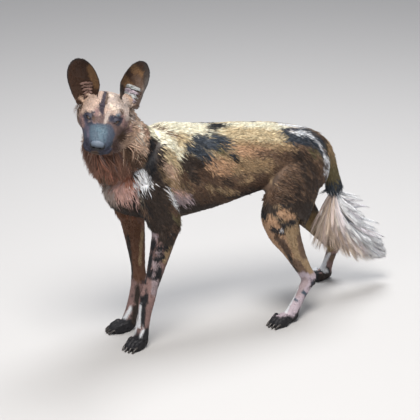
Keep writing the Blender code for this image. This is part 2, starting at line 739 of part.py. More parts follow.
def head_pieces(where):
    place = head_matrix()
    rings = []
    for y, top, bottom, half, square in smooth_rows(HEAD):
        middle = 0.5 * (top + bottom)
        rings.append([place @ point for point in section(
            (0, y, middle), (1, 0, 0), (0, 0, 1), half, top - middle, middle - bottom, square)])
    pieces = [loft("head_form", rings, where), neck_core("head_stub", where),
              ball("nose", place @ Vector(NOSE_CENTRE), NOSE_RADII, place.to_3x3(), where)]
    for side in (LEFT, RIGHT):
        for name, (centre, radii) in HEAD_MASSES.items():
            pieces.append(ball(name, place @ mirrored(centre, side), radii, place.to_3x3(), where))
        for lid in lids(side, where):
            lid.data.transform(place)
            pieces.append(lid)
    return pieces


def ear(name, side, where):
    """A wide round cup, open to the front, thin walled."""
    bm = bmesh.new()
    bmesh.ops.create_grid(bm, x_segments=9, y_segments=10, size=1.0)
    for vert in bm.verts:
        u, rise = vert.co.x, (vert.co.y + 1) / 2
        top = max(0.0, 2 * rise - 1)
        across = u * math.sqrt(1 - top * top / 2)
        height = rise if rise < 0.5 else 0.5 + 0.5 * top * math.sqrt(1 - u * u / 2)
        base = EAR_BASE_WIDTH[side]
        spread = base + (1 - base) * math.sin(math.pi * min(rise, 0.5)) ** 0.8
        cup = EAR_CUP * across * across * (1.0 - 0.55 * height)
        bow = 0.010 * math.sin(math.pi * height)
        skew = side * EAR_SKEW[side] * max(0.0, height - 0.4)
        vert.co = (across * spread * EAR_WIDTH[side] / 2 + skew, cup - bow, height * EAR_HEIGHT[side])
    made = from_bmesh(name, bm, where)
    lean = Matrix.Rotation(side * EAR_LEAN[side], 3, "Y")
    turn = Matrix.Rotation(-side * EAR_TURN[side], 3, "Z")
    back = Matrix.Rotation(EAR_BACK[side], 3, "X")
    root = mirrored(EAR_ROOT[side], side)
    made.data.transform(head_matrix() @ Matrix.Translation(root) @ (turn @ lean @ back).to_4x4())
    wall = made.modifiers.new("Wall", "SOLIDIFY")
    wall.thickness = EAR_WALL
    wall.offset = 0.0
    settle(made)
    return made


def mirrored(place, side):
    """A place in the head frame on one side; the left side is the frame's -X."""
    return Vector((side * place[0], place[1], place[2]))


def tube(name, points, radius, where):
    """A closed round tube along a smooth path."""
    line = bpy.data.curves.new(name, "CURVE")
    line.dimensions = "3D"
    line.bevel_depth = radius
    line.bevel_resolution = 2
    line.use_fill_caps = True
    spline = line.splines.new("POLY")
    path = smooth_rows(points, 3)
    spline.points.add(len(path) - 1)
    for spot, place in zip(spline.points, path):
        spot.co = (*place, 1.0)
    holder = bpy.data.objects.new(name, line)
    where.objects.link(holder)
    bpy.context.view_layer.update()
    mesh = bpy.data.meshes.new_from_object(holder.evaluated_get(bpy.context.evaluated_depsgraph_get()))
    bpy.data.objects.remove(holder, do_unlink=True)
    bm = bmesh.new()
    bm.from_mesh(mesh)
    bmesh.ops.remove_doubles(bm, verts=bm.verts, dist=FINE)
    return from_bmesh(name, bm, where)


def eye_centre(side):
    return mirrored((EYE_SPREAD, EYE_FORWARD, 0.0), side)


def lids(side, where):
    """The two lids as arcs that lie on the eyeball."""
    centre = eye_centre(side)
    made = []
    for kind, height in (("upper", UPPER_LID), ("lower", LOWER_LID)):
        path = []
        for i in range(9):
            share = i / 8
            turn = -LID_REACH + 2 * LID_REACH * share + EYE_OUTWARD
            lift = height * math.sin(math.pi * share)
            way = Vector((math.sin(turn) * math.cos(lift), math.cos(turn) * math.cos(lift),
                          math.sin(lift)))
            way.rotate(Matrix.Rotation(EYE_UPWARD, 3, "X"))
            path.append(centre + mirrored(way, side) * (EYE_RADIUS + 0.2 * LID_THICK))
        made.append(tube(f"lid_{kind}", path, LID_THICK, where))
    return made


def clear_of(thing, other, where):
    """Cuts a node back so that it keeps the gap to another that it grows from."""
    swollen = bpy.data.objects.new("swollen_" + other.name, other.data.copy())
    where.objects.link(swollen)
    mark_cutter(swollen)
    swell = swollen.modifiers.new("Swell", "DISPLACE")
    swell.strength = 1.2 * GAP
    swell.mid_level = 0.0
    settle(swollen)
    boolean(thing, swollen, "DIFFERENCE")
    keep_largest(thing)


def carve_face(head, cutters):
    """Eye sockets, nostrils and the line of the mouth."""
    place = head_matrix()
    for side in (LEFT, RIGHT):
        socket = ball("socket", place @ eye_centre(side), (EYE_RADIUS + GAP,) * 3,
                      Matrix.Identity(3), cutters, 20, 14)
        boolean(head, mark_cutter(socket), "DIFFERENCE")
        turn = place.to_3x3() @ Matrix.Rotation(-side * math.radians(24), 3, "Z")
        hole = ball("nostril", place @ mirrored(NOSTRIL, side), NOSTRIL_RADII, turn, cutters, 12, 8)
        boolean(head, mark_cutter(hole), "DIFFERENCE")
    surface = BVHTree.FromObject(head, bpy.context.evaluated_depsgraph_get())
    half = [Vector(point) for point in MOUTH]
    line = [Vector((-p.x, p.y, p.z)) for p in half[:0:-1]] + half
    path = [surface.find_nearest(place @ Vector(point))[0] for point in smooth_rows(line, 3)]
    groove = tube("mouth_groove", path, MOUTH_GROOVE, cutters)
    boolean(head, mark_cutter(groove), "DIFFERENCE")
    keep_largest(head)


def part_body(body, parts, cutters):
    """Cuts the body into its nodes and names each one."""
    cuts = {"neck_base_cut": NECK_BASE_CUT, "neck_top_cut": NECK_TOP_CUT, "tail_cut": TAIL_CUT,
            "brush_cut": BRUSH_CUT, **LEG_CUTS}
    for name, (point, normal, radius) in cuts.items():
        boolean(body, disc(name, point, normal, radius, cutters), "DIFFERENCE")
    boolean(body, box("floor_cut", (-1, -1, -0.1), (2, 1, 0), cutters), "DIFFERENCE")
    nodes = {}
    for faces in islands(body.data):
        mesh = island_mesh("part", body.data, faces)
        centre = sum((v.co for v in mesh.vertices), Vector()) / len(mesh.vertices)
        name = name_of_part(centre)
        if name and name not in nodes:
            mesh.name = name
            nodes[name] = bpy.data.objects.new(name, mesh)
            parts.objects.link(nodes[name])
    bpy.data.objects.remove(body, do_unlink=True)
    return nodes


def finish_nodes(nodes):
    """Gives each node its material and moves all to the footprint's middle."""
    corners = np.array([v.co for thing in nodes.values() for v in thing.data.vertices])
    low, high = corners.min(axis=0), corners.max(axis=0)
    shift = Vector((-(low[0] + high[0]) / 2, -(low[1] + high[1]) / 2, 0))
    for name, thing in nodes.items():
        thing.data.transform(Matrix.Translation(shift))
        colour, roughness = FINISH[name]
        thing.data.materials.clear()
        thing.data.materials.append(material(name + "_finish", colour, roughness))


def main():
    clear_scene()
    parts = collection("African wild dog")
    cutters = collection("cutters")
    body = fuse("body", body_pieces(parts), BODY_VOXEL, BODY_TRIANGLES, 6, parts)
    head = fuse("head", head_pieces(parts), HEAD_VOXEL, HEAD_TRIANGLES, 3, parts)
    draw = random.Random(SEED)
    ruff = ruff_locks(body, head, draw, parts)
    nodes = part_body(body, parts, cutters)
    join_locks(nodes["neck"], ruff)
    keep_beyond(head, NECK_TOP_CUT, cutters)
    nodes["head"] = head
    for side, tag in ((LEFT, "left"), (RIGHT, "right")):
        nodes["ear_" + tag] = ear("ear_" + tag, side, parts)
        clear_of(nodes["ear_" + tag], head, cutters)
    carve_face(head, cutters)
    for side, tag in ((LEFT, "left"), (RIGHT, "right")):
        nodes["eye_" + tag] = ball("eye_" + tag, head_matrix() @ eye_centre(side), (EYE_RADIUS,) * 3,
                                   head_matrix().to_3x3(), parts, 14, 8)
    brush = brush_core("tail_brush", parts)
    keep_beyond(brush, BRUSH_CUT, cutters)
    join_locks(brush, brush_locks(draw, parts))
    nodes["tail_brush"] = brush
    finish_nodes(nodes)


main()
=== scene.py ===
"""The looks of the African wild dog: one skin, its coat in tufts, eyes, nose and claws.

Places are in metres. Those named here are in the animal's own frame, whose
origin is the floor point midway between the front paws; the animal faces -X
and its left side is toward -Y. SHIFT takes that frame to the model's.
"""
import math

import bmesh
import bpy
import numpy as np
from mathutils import Matrix, Vector
from mathutils.bvhtree import BVHTree
from mathutils.kdtree import KDTree


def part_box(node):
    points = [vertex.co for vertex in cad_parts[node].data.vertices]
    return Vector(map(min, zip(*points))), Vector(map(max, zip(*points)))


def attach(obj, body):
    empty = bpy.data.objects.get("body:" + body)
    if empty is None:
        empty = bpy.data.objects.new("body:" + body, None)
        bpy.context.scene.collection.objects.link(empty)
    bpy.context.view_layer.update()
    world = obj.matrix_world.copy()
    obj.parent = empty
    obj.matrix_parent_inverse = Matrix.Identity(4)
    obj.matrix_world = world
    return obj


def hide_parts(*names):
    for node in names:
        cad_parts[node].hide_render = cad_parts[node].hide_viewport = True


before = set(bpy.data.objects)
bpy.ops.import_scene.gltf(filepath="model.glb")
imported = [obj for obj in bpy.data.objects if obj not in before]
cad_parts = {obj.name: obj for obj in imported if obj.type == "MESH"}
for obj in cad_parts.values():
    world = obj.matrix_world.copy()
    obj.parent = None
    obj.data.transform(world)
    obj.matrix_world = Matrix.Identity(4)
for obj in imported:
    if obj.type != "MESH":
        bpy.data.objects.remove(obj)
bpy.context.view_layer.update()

LEFT, RIGHT = -1, 1
SEED = 5

# The head's frame: the point midway between the eyes, the way of the muzzle and the head's tilt.
EYE_MIDDLE = Vector((-0.1125, -0.1213, 0.752))
MUZZLE_WAY = Vector((-0.512, -0.798, -0.319))
HEAD_ROLL = math.radians(10.5)

# Camera, by the photograph's view.
CAMERA_AT = Vector((-2.02899, -4.53650, 2.32102))
LOOK_AT = Vector((0.3021, 0.0385, 0.35))
FRAME_WIDTH = 420
FOCAL = 1815.0          # in pixels of the photograph's frame

# Lamps: name, place, aim, size, power and tint.
LAMPS = (
    ("key_light", (-1.0, -1.8, 4.2), (0, 0, 0.4), 2.0, 230.0, (1.0, 0.97, 0.93)),
    ("top_light", (0.8, 0.8, 3.8), (0, 0, 0.4), 1.8, 140.0, (0.95, 0.97, 1.0)),
    ("fill_light", (-3.2, -2.6, 1.6), (0, 0, 0.5), 2.0, 30.0, (1.0, 1.0, 1.0)),
)

# Neck without its ruff: x, y, z, then half width and half depth to the front and rear.
NECK = (
    (0.110, 0.000, 0.545, 0.073, 0.098, 0.096),
    (0.050, -0.003, 0.588, 0.073, 0.120, 0.084),
    (0.005, -0.014, 0.635, 0.071, 0.116, 0.066),
    (-0.028, -0.034, 0.690, 0.068, 0.090, 0.052),
    (-0.050, -0.055, 0.732, 0.057, 0.050, 0.044),
    (-0.066, -0.072, 0.758, 0.041, 0.022, 0.030),
)
# Planes, each a point and its normal: where the neck starts, and where the head does.
NECK_BASE = (Vector((0.035, 0.0, 0.595)), Vector((-0.72, -0.06, 0.69)).normalized())
NECK_TOP = (Vector((-0.048, -0.040, 0.722)), Vector((-0.60, -0.72, 0.35)).normalized())
NECK_COAT_START = 0.052   # how far past its base the neck's own coat starts
NECK_STUB_INSET = 0.0015  # how far the head's piece of the neck lies inside it

# Head sections, in the head frame: forward, top, bottom, half width, squareness.
HEAD = (
    (-0.140, -0.022, -0.066, 0.030, 2.0),
    (-0.122, -0.002, -0.076, 0.047, 2.1),
    (-0.097, 0.020, -0.085, 0.058, 2.2),
    (-0.066, 0.037, -0.087, 0.066, 2.3),
    (-0.036, 0.043, -0.083, 0.069, 2.4),
    (-0.012, 0.037, -0.079, 0.065, 2.4),
    (0.008, 0.022, -0.075, 0.057, 2.4),
    (0.028, 0.009, -0.072, 0.050, 2.5),
    (0.052, -0.001, -0.069, 0.044, 2.6),
    (0.076, -0.006, -0.065, 0.037, 2.7),
    (0.092, -0.010, -0.061, 0.030, 2.5),
    (0.102, -0.018, -0.052, 0.020, 2.2),
)
# Masses of the head on each side: sideways, forward, up, then three radii.
HEAD_MASSES = {
    "cheek": ((0.042, -0.048, -0.036), (0.029, 0.044, 0.042)),
    "cheekbone": ((0.045, -0.030, -0.012), (0.019, 0.034, 0.015)),
    "brow": ((0.033, -0.008, 0.0145), (0.021, 0.018, 0.0105)),
    "lip": ((0.024, 0.066, -0.045), (0.0180, 0.034, 0.0145)),
    "ear_root": ((0.046, -0.082, 0.008), (0.026, 0.024, 0.022)),
    "nostril_wing": ((0.0105, 0.1035, -0.0215), (0.0095, 0.0085, 0.0080)),
}
NOSE_CENTRE = (0.0, 0.0985, -0.0205)
NOSE_RADII = (0.0205, 0.0145, 0.0145)
NOSTRIL = (0.0098, 0.1125, -0.0225)
NOSTRIL_RADII = (0.0042, 0.0075, 0.0034)
NOSTRIL_TURN = math.radians(24)
SLIT = (0.0165, 0.1040, -0.0262)             # the nostril's cut to the side
SLIT_RADII = (0.0058, 0.0060, 0.0012)
SLIT_TURN = math.radians(30)
LEATHER_CENTRE = (0.0, 0.1045, -0.0215)      # the bare black skin of the nose
LEATHER_RADII = (0.0215, 0.0150, 0.0150)
MOUTH = ((0.000, 0.112, -0.0455), (0.012, 0.104, -0.0475), (0.022, 0.090, -0.0520),
         (0.031, 0.066, -0.0540), (0.038, 0.040, -0.0530), (0.044, 0.020, -0.0470))
MOUTH_GROOVE = 0.0014
# The line from the nose down to the mouth.
LIP_SPLIT = ((0, 0.113, -0.0270), (0, 0.113, -0.033), (0, 0.112, -0.039), (0, 0.112, -0.0455))
LIP_GROOVE = 0.0009

# Eyes.
EYE_SPREAD = 0.0365
EYE_FORWARD = 0.0085
EYE_RADIUS = 0.0118
SOCKET_GAP = 0.0002     # room between an eyeball and its socket
EYE_OUTWARD = math.radians(24)
EYE_UPWARD = math.radians(26)
EYE_SLANT = math.radians(14)
LID = 0.0016            # thickness of a lid
EYE_LONG = 0.0106       # half length of the opening between the lids
EYE_OPEN = (0.0050, 0.0040)   # its height above and below the corners
PUPIL_EDGE = 18         # degrees from the middle of the gaze
IRIS_EDGE = (33, 40)    # where the iris starts to darken, and where it ends

# Ears, in the head frame.
EAR_HEIGHT = {LEFT: 0.139, RIGHT: 0.128}
EAR_WIDTH = {LEFT: 0.098, RIGHT: 0.093}
EAR_WALL = 0.0036
EAR_ROOT = {LEFT: (0.044, -0.066, 0.004), RIGHT: (0.050, -0.066, 0.004)}
EAR_BASE_WIDTH = {LEFT: 0.50, RIGHT: 0.42}
EAR_CUP = 0.036         # how deep the ear is cupped from side to side
EAR_BOW = 0.010         # how far its middle is bent back
EAR_LEAN = {LEFT: math.radians(32), RIGHT: math.radians(18)}
EAR_TURN = {LEFT: math.radians(33), RIGHT: math.radians(6)}
EAR_BACK = {LEFT: math.radians(28), RIGHT: math.radians(8)}
EAR_SKEW = {LEFT: 0.046, RIGHT: 0.016}   # how far the tip leans out beyond the ear's middle
EAR_SKEW_START = 0.4    # share of the height where that lean begins
# The dark root of the ear: places in the ear's frame, and where the dark ends and fades.
EAR_CORNER = ((0.026, EAR_CUP, -0.001), (0.018, 0.024))
EAR_CREASE = ((0.004, 0.0, 0.002), (0.012, 0.016))
# Rows of pale hair in each ear: their number, the lowest, the step, the scatter, the roots' spread.
EAR_ROWS = {LEFT: (4, 0.16, 0.085, 0.018, (-0.42, 0.08)), RIGHT: (5, 0.10, 0.070, 0.011, (-0.10, 0.42))}

# Paws: middle on the floor and the way the toes turn out.
PAWS = {
    "fore_left": ((0.003, -0.070), 24.0, LEFT), "fore_right": ((0.010, 0.060), 10.0, RIGHT),
    "hind_left": ((0.467, -0.120), 14.0, LEFT), "hind_right": ((0.748, 0.134), 8.0, RIGHT),
}
PAW_LENGTH = 0.078
PAW_WIDTH = 0.050
PAW_HEIGHT = 0.036
CLAW = {"Length": 0.022, "Thickness": 0.0031, "Hook": 0.0078}
HEELS = ((0.016, -0.070), (0.038, 0.062), (0.506, -0.112), (0.768, 0.130))
HEEL_RADII = (0.0225, 0.0195, 0.0225)
HEEL_HEIGHT = 0.0215

# Middle of the tail's brush: x, y, z, then half width and half depth out to the tips.
BRUSH = (
    (0.712, 0.006, 0.388, 0.024, 0.024),
    (0.721, 0.008, 0.358, 0.028, 0.030),
    (0.719, 0.005, 0.322, 0.038, 0.060),
    (0.733, 0.005, 0.286, 0.046, 0.088),
    (0.758, 0.006, 0.247, 0.052, 0.097),
    (0.792, 0.008, 0.205, 0.054, 0.092),
    (0.842, 0.012, 0.157, 0.047, 0.076),
    (0.882, 0.018, 0.122, 0.034, 0.050),
    (0.914, 0.020, 0.100, 0.014, 0.018),
)
TAIL_LINE = ((0.630, 0.000, 0.545), (0.668, 0.000, 0.512), (0.692, 0.002, 0.462),
             (0.707, 0.005, 0.410), (0.721, 0.008, 0.358), (0.745, 0.011, 0.290),
             (0.796, 0.014, 0.209), (0.860, 0.017, 0.142))
DOCK_RADIUS = 0.026     # of the tail at its root
DOCK_TAPER = 0.0026     # what it loses at each point of its line

# Sizes of the grid that joins the forms.
BODY_VOXEL = 0.0036
HEAD_VOXEL = 0.0014
PAW_VOXEL = 0.0016

# How deep the skin lies under the coat's tips.
BODY_COAT = 0.0038
LEG_COAT = 0.0012
HEAD_INSET = 0.0010     # how far the head's skin lies inside its forms, under the short hair
RUMP = 0.43             # where the coat of the rear begins
SEEN_EDGE = 0.012       # how far past the middle of the back the marks that are seen reach
FORE_TOP = 0.372        # where the coat of the legs ends, above the floor
HIND_TOP = 0.395
# Lowest places, above the floor.
PAW_REST = 0.0004
TUFT_REST = 0.0003
CLAW_REST = 0.0005
BRUSH_REST = 0.012

TUFT_RIDGE = 0.35       # height of a tuft by its half width
TUFT_MARGIN = 0.0014    # half size of a tuft on its unwrap
SKIN_SHADE = 0.72       # how dark the skin is under its coat

# Colours of the coat, as they are seen, 0 to 255.
COLOURS = {
    "black": (34, 33, 36), "soot": (58, 48, 42), "umber": (93, 72, 58), "brown": (118, 94, 76),
    "olive": (112, 102, 74), "tan": (168, 141, 108), "fawn": (200, 180, 144), "orange": (188, 150, 118),
    "cream": (234, 226, 200), "white": (240, 241, 244), "pink": (218, 176, 164),
    "flush": (152, 122, 116), "lilac": (198, 182, 190), "frost": (170, 152, 154),
    "rust": (176, 118, 96), "ruff": (134, 98, 82), "straw": (196, 166, 144), "slate": (70, 86, 99),
    # The first colour on the next line is the one for painted highlights on the muzzle and above the right
    # eye.
    "steel_highlight": (84, 104, 116), "ink": (52, 52, 66), "ear": (58, 37, 24), "inner": (118, 88, 60),
    "brow": (198, 172, 156), "pale": (184, 168, 158), "beige": (224, 204, 186), "grey": (150, 138, 118),
    "mauve": (102, 82, 78), "violet": (86, 80, 94), "night": (60, 66, 74), "khaki": (146, 122, 84),
    "auburn": (112, 78, 58), "gun": (62, 70, 84), "stripe": (60, 52, 62), "rose": (150, 122, 118),
    "down": (128, 102, 92), "tuft": (184, 186, 184), "pupil": (6, 5, 5), "iris": (64, 43, 30),
    # The last colour on the next line is the painted highlight on the top of the nose.
    "limbus": (26, 20, 18), "leather": (24, 24, 26), "nose_highlight": (84, 94, 106),
}

# Markings on the side that the photograph shows: colour, then the two ends of
# a stroke and its half width, in pixels of the photograph's frame.
BODY_MARKS = (
    # The long cream stroke on the next line, along the top of the back, is partly the pale backline and
    # partly painted light on the lit top.
    ("cream", 156, 124, 300, 124.5, 5.5), ("fawn", 178, 140, 204, 156, 8.5),
    ("fawn", 226, 133, 284, 137, 7), ("tan", 222, 144, 286, 148, 4), ("orange", 213, 166, 230, 171, 9),
    ("orange", 240, 151, 264, 152, 5.5), ("brown", 264, 158, 292, 158, 8), ("tan", 238, 163, 264, 163, 4),
    ("tan", 236, 171, 256, 172, 6), ("brown", 200, 185, 262, 180, 8.5), ("umber", 194, 196, 250, 191, 8),
    ("soot", 182, 206, 236, 202, 7), ("soot", 240, 198, 264, 186, 5), ("umber", 256, 183, 268, 177, 5),
    ("soot", 225, 181, 228, 182, 3), ("soot", 213, 187, 217, 188, 2.6), ("tan", 206, 185, 212, 189, 2.4),
    ("tan", 222, 191, 232, 192, 2.8), ("tan", 240, 183, 252, 178, 2.2), ("umber", 206, 176, 212, 180, 5),
    ("umber", 198, 200, 226, 200, 3), ("olive", 216, 145, 222, 153, 3.5),
    ("black", 208, 125.5, 224, 126, 2.6), ("black", 212, 128, 213, 137, 3.6),
    ("night", 213, 138, 226, 141, 4.2), ("night", 196, 139, 214, 146, 5.2),
    ("night", 191, 148, 206, 155, 6), ("soot", 188, 162, 199, 165, 7), ("soot", 187, 171, 196, 178, 6),
    ("umber", 200, 173, 212, 178, 5), ("night", 226, 147, 234, 157, 2.4),
    ("black", 235, 158, 237, 160, 2.8), ("soot", 149, 138, 160, 138, 5),
    ("soot", 150, 145, 157, 150, 8.5), ("soot", 152, 158, 155, 160, 9.5), ("soot", 151, 170, 153, 176, 9),
    ("soot", 153, 186, 160, 190, 9), ("black", 149, 140, 152, 172, 5), ("soot", 150, 203, 160, 215, 11),
    ("soot", 165, 205, 170, 220, 7), ("black", 140, 206, 146, 212, 6),
    ("olive", 144, 126, 152, 124.5, 2.2), ("umber", 152, 125.5, 166, 130, 2),
    ("brown", 166, 130, 176, 137, 1.6), ("cream", 153, 133, 166, 137, 4.2),
    ("cream", 164, 137, 176, 148, 4.8), ("cream", 172, 147, 181, 157, 4),
    ("fawn", 169, 155, 177, 168, 5.5), ("straw", 168, 166, 173, 177, 5),
    ("soot", 184.5, 159, 187, 172, 4), ("umber", 181, 172, 186, 182, 4), ("frost", 178, 195, 187, 199, 5),
    ("pink", 177, 193, 186, 195, 2), ("frost", 178, 201, 183, 203, 3),
    ("white", 169.5, 191, 176, 207, 1.7), ("brown", 140, 209, 146, 213, 2),
    ("grey", 141, 200, 142, 200.5, 2.2), ("olive", 175, 215, 181, 222, 3.4),
    # The white stroke from 281,123.5 to 305,126.5 on the next line, on the top of the rump, is partly pale
    # coat and partly painted light.
    ("umber", 171, 209, 176, 215, 3), ("white", 281, 123.5, 305, 126.5, 2.4),
    ("ink", 280, 129.5, 305, 130, 1.6), ("night", 286, 134, 294, 138, 4.5),
    ("night", 292, 139, 308, 142, 5.5), ("night", 304, 134, 320, 146, 6.5),
    ("white", 294, 133, 306, 134, 1.8), ("white", 307, 132.5, 320, 145, 0.8),
    ("white", 320, 145, 325, 157, 1.0), ("white", 325, 157, 329, 166, 2.8),
    ("white", 329, 165, 327, 174, 3.4), ("white", 327, 174, 321, 194, 2.3),
    ("night", 324, 143, 324, 150, 2), ("night", 331, 175, 325, 187, 1.3),
    ("night", 326.5, 152, 331, 160, 1.4), ("umber", 286, 160, 300, 162, 6),
    ("umber", 294, 162, 316, 182, 11), ("soot", 301, 156, 313, 186, 8), ("soot", 284, 186, 302, 204, 12),
    ("brown", 274, 166, 284, 188, 8), ("tan", 267, 158, 268, 172, 2.6), ("umber", 284, 178, 292, 190, 5),
    ("brown", 284, 170, 290, 176, 4.5), ("tan", 271, 162, 272, 176, 2.4),
    ("brown", 291, 163, 297, 168, 3), ("olive", 312, 151, 318, 156, 3.6),
    ("brown", 318, 160, 320, 164, 2.6), ("brown", 300, 148, 304, 149, 2.6),
    ("umber", 276, 168, 267, 182, 2.6), ("umber", 266, 182, 264, 200, 3),
    ("tan", 272.5, 174, 270.5, 183, 1.3), ("brown", 268, 187, 274, 195, 4),
    ("umber", 272, 190, 276, 200, 3), ("olive", 328, 146, 335, 170, 3),
)
SHOULDER_MARKS = [mark for mark in BODY_MARKS if mark[1] < 180 and mark[3] < 185]
LIMB_MARKS = [mark for mark in BODY_MARKS if mark[4] > 185 and (mark[1] < 180 or mark[1] > 258)]
CHEST_MARKS = (
    # The umber stroke from 124,150 to 136,160 on the next line is the painted shadow under the jaw.
    ("straw", 128, 116, 138, 146, 8), ("beige", 131, 118, 137, 138, 3), ("umber", 124, 150, 136, 160, 6),
    ("ruff", 84, 158, 118, 162, 10), ("rust", 100, 157, 106, 168, 3.5), ("straw", 90, 158, 95, 174, 4),
    ("ruff", 100, 172, 120, 174, 6), ("brown", 104, 178, 116, 180, 6),
    ("auburn", 111, 184, 113, 192, 3.4), ("pale", 106, 186, 110, 199, 4),
    ("pink", 116, 198, 132, 198, 5.5), ("pink", 118, 188, 128, 190, 6), ("rust", 123, 176, 131, 183, 5.5),
    ("pink", 118, 180, 120, 188, 4), ("white", 140, 176, 144.5, 184, 6.2),
    ("white", 136, 187, 139, 188, 3.5), ("pink", 124, 194, 132, 196, 4), ("pale", 108, 199, 114, 201, 3),
    # The large auburn stroke on the next line, low on the chest, is painted shade under it.
    ("soot", 130.5, 172, 132, 173, 2.4), ("auburn", 118, 211, 134, 220, 6),
    ("rust", 128, 221, 136, 224, 3), ("soot", 121, 204, 130, 207, 2.6),
)
LEG_MARKS = (
    ("orange", 268, 224, 288, 256, 9), ("tan", 292, 228, 306, 268, 8), ("black", 261, 208, 264, 216, 4),
    ("soot", 268, 208, 280, 212, 5), ("soot", 296, 204, 304, 216, 6), ("orange", 281, 213, 291, 218, 4.2),
    ("black", 271, 229, 283, 233, 2.2), ("black", 284, 226, 292, 223, 3.4),
    ("umber", 282, 242, 288, 252, 3.4), ("white", 281, 231, 282, 232, 1.2),
    ("brown", 300, 236, 304, 256, 3.5), ("umber", 276, 236, 278, 240, 2.4),
    ("ink", 299, 263, 312, 283, 1.8), ("soot", 289, 256, 297, 271, 2), ("brown", 296, 262, 306, 276, 3.5),
    ("lilac", 303, 280, 293, 303, 8), ("lilac", 293, 303, 286, 315, 7),
    # The thin white stroke from 297,288 to 286,312 on the next line runs along the hind leg's left edge:
    # painted rim light.
    ("frost", 304, 281, 298, 292, 4.5), ("white", 297, 288, 286, 312, 1.6),
    ("slate", 295, 299, 297, 301, 1.2), ("slate", 303, 292, 305, 294, 1.6),
    ("black", 264, 330, 287, 322, 6.5), ("soot", 150, 216, 172, 226, 8), ("soot", 166, 228, 174, 231, 4),
    ("flush", 151, 233, 158, 262, 7), ("flush", 156, 246, 155, 300, 8.5),
    ("flush", 152, 300, 147, 325, 6), ("frost", 155, 262, 157, 268, 3.6),
    ("frost", 152, 234, 157, 238, 2.6), ("frost", 157, 252, 159, 253, 2),
    ("frost", 156, 278, 154, 292, 3.4), ("tan", 170, 247, 164, 262, 2),
    ("white", 160, 226.5, 169, 230, 0.9), ("black", 153, 241, 153.5, 248, 3.1),
    ("soot", 161, 239, 170, 243, 3.6), ("black", 160, 249, 166, 248, 3.5),
    ("black", 157, 259, 162, 257, 3.6), ("black", 150.5, 254, 149.5, 266, 2.4),
    ("black", 159, 268, 159.5, 273, 2.6), ("black", 150.5, 273, 156, 276, 4.6),
    ("frost", 153.8, 275, 154.2, 275, 1.5), ("soot", 161, 277, 157, 297, 1.4),
    ("black", 146.7, 295, 146.7, 297, 1.7), ("black", 144, 299, 145, 304, 4),
    # The thin white strokes on the next two lines, and the one from 143.5,330 below, run down the near
    # foreleg's left edge to its paw: painted rim light.
    ("black", 143.5, 308, 143, 324, 3.2), ("white", 140.4, 306, 139, 327, 1.3),
    ("white", 138, 322, 133, 335, 1.5), ("flush", 149, 306, 148, 330, 3),
    ("black", 147, 331, 148, 340, 3.4), ("black", 126, 348, 144, 338, 7),
    ("white", 143.5, 330, 140.5, 336, 1.3),
)
FAR_LEG_MARKS = (
    ("ruff", 124, 216, 138, 224, 7), ("auburn", 130, 228, 138, 272, 11),
    ("soot", 128, 236, 132, 282, 1.8), ("flush", 131, 284, 132, 304, 5),
    ("soot", 137.5, 288, 137, 306, 2.8), ("tan", 142, 232, 140, 262, 1.6),
    ("black", 132, 296, 132.5, 305, 1.3), ("soot", 137, 290, 139, 300, 2),
    # The white stroke from 125,318 to 131,308 on the next line, along the far foreleg's left edge, is painted
    # rim light.
    ("flush", 131, 300, 133, 312, 3), ("white", 125, 318, 131, 308, 2), ("black", 108, 328, 134, 325, 7),
    ("soot", 135, 308, 135, 322, 3.4), ("khaki", 314, 222, 327, 243, 10),
    ("brown", 322, 236, 338, 254, 8), ("brown", 332, 258, 336, 264, 3),
    ("white", 329, 254, 324, 264, 1.8), ("white", 324, 264, 314, 268, 2.6),
    ("white", 318, 262, 326, 272, 2.4), ("soot", 322, 277, 334, 276, 3.6),
)
FACE_MARKS = (
    # The small beige stroke on the next line, on the right brow, is a painted highlight.
    ("pale", 112, 100, 124, 108, 9), ("beige", 111, 106, 116, 110, 2),
    ("cream", 79.5, 106, 79.5, 114, 1.6), ("beige", 110, 95, 112, 96, 1.4),
    ("rose", 97, 111, 95, 121, 2.6), ("mauve", 94, 119, 110, 122, 3.4),
    ("pale", 108.5, 113, 105, 122, 1.6), ("rose", 122, 118, 127, 128, 5),
    ("mauve", 112, 127, 122, 134, 5.5), ("umber", 112, 143, 121, 136, 5),
    ("mauve", 112, 138, 115, 148, 4.5), ("violet", 82.5, 121, 85.5, 135, 4),
    ("straw", 130, 112, 132, 126, 4), ("stripe", 105.6, 91, 105, 97, 1.9),
    ("stripe", 104.6, 97, 103.4, 104, 2.8), ("stripe", 102.6, 104, 101.8, 109, 3),
    ("stripe", 101.6, 109, 102.6, 117, 2.0), ("umber", 107.5, 94, 106, 104, 1.2),
    # On the muzzle the steel strokes are painted highlight. Its lighter slate middle between the darker gun
    # and violet sides is partly its own colour and partly painted light and shade on its rounded top.
    ("mauve", 102, 117, 102, 122, 2.2), ("gun", 90.5, 128, 108, 128, 4), ("gun", 91, 134, 108, 135, 6.8),
    ("gun", 90, 141, 107, 143, 5.6), ("slate", 93, 127.5, 104, 127.5, 2.8),
    ("slate", 94, 132, 104, 133, 5), ("slate", 95, 138, 103, 139, 4), ("steel_highlight", 98, 129, 104, 132, 2.4),
    ("steel_highlight", 100, 134, 101, 138, 1.8), ("violet", 87.5, 127, 88, 136, 1.5),
    ("gun", 111, 130, 110, 142, 2.6), ("pale", 125, 106, 128, 119, 3), ("rose", 81.5, 116, 83, 126, 2),
    ("umber", 93, 153, 110, 153, 2.4), ("ink", 87, 140, 87, 148, 2.4), ("ink", 86.5, 115.5, 91, 117, 3.5),
    ("umber", 92.5, 117.5, 94, 119, 1.6), ("ink", 92, 112.5, 94.5, 112, 0.9),
    # The small steel stroke on the next line, above the right eye, is a painted highlight.
    ("ink", 112, 118.5, 119, 120.5, 3.7), ("steel_highlight", 117, 114.8, 119.5, 115.8, 1.1),
    ("umber", 121, 111, 122, 114, 1.6),
)
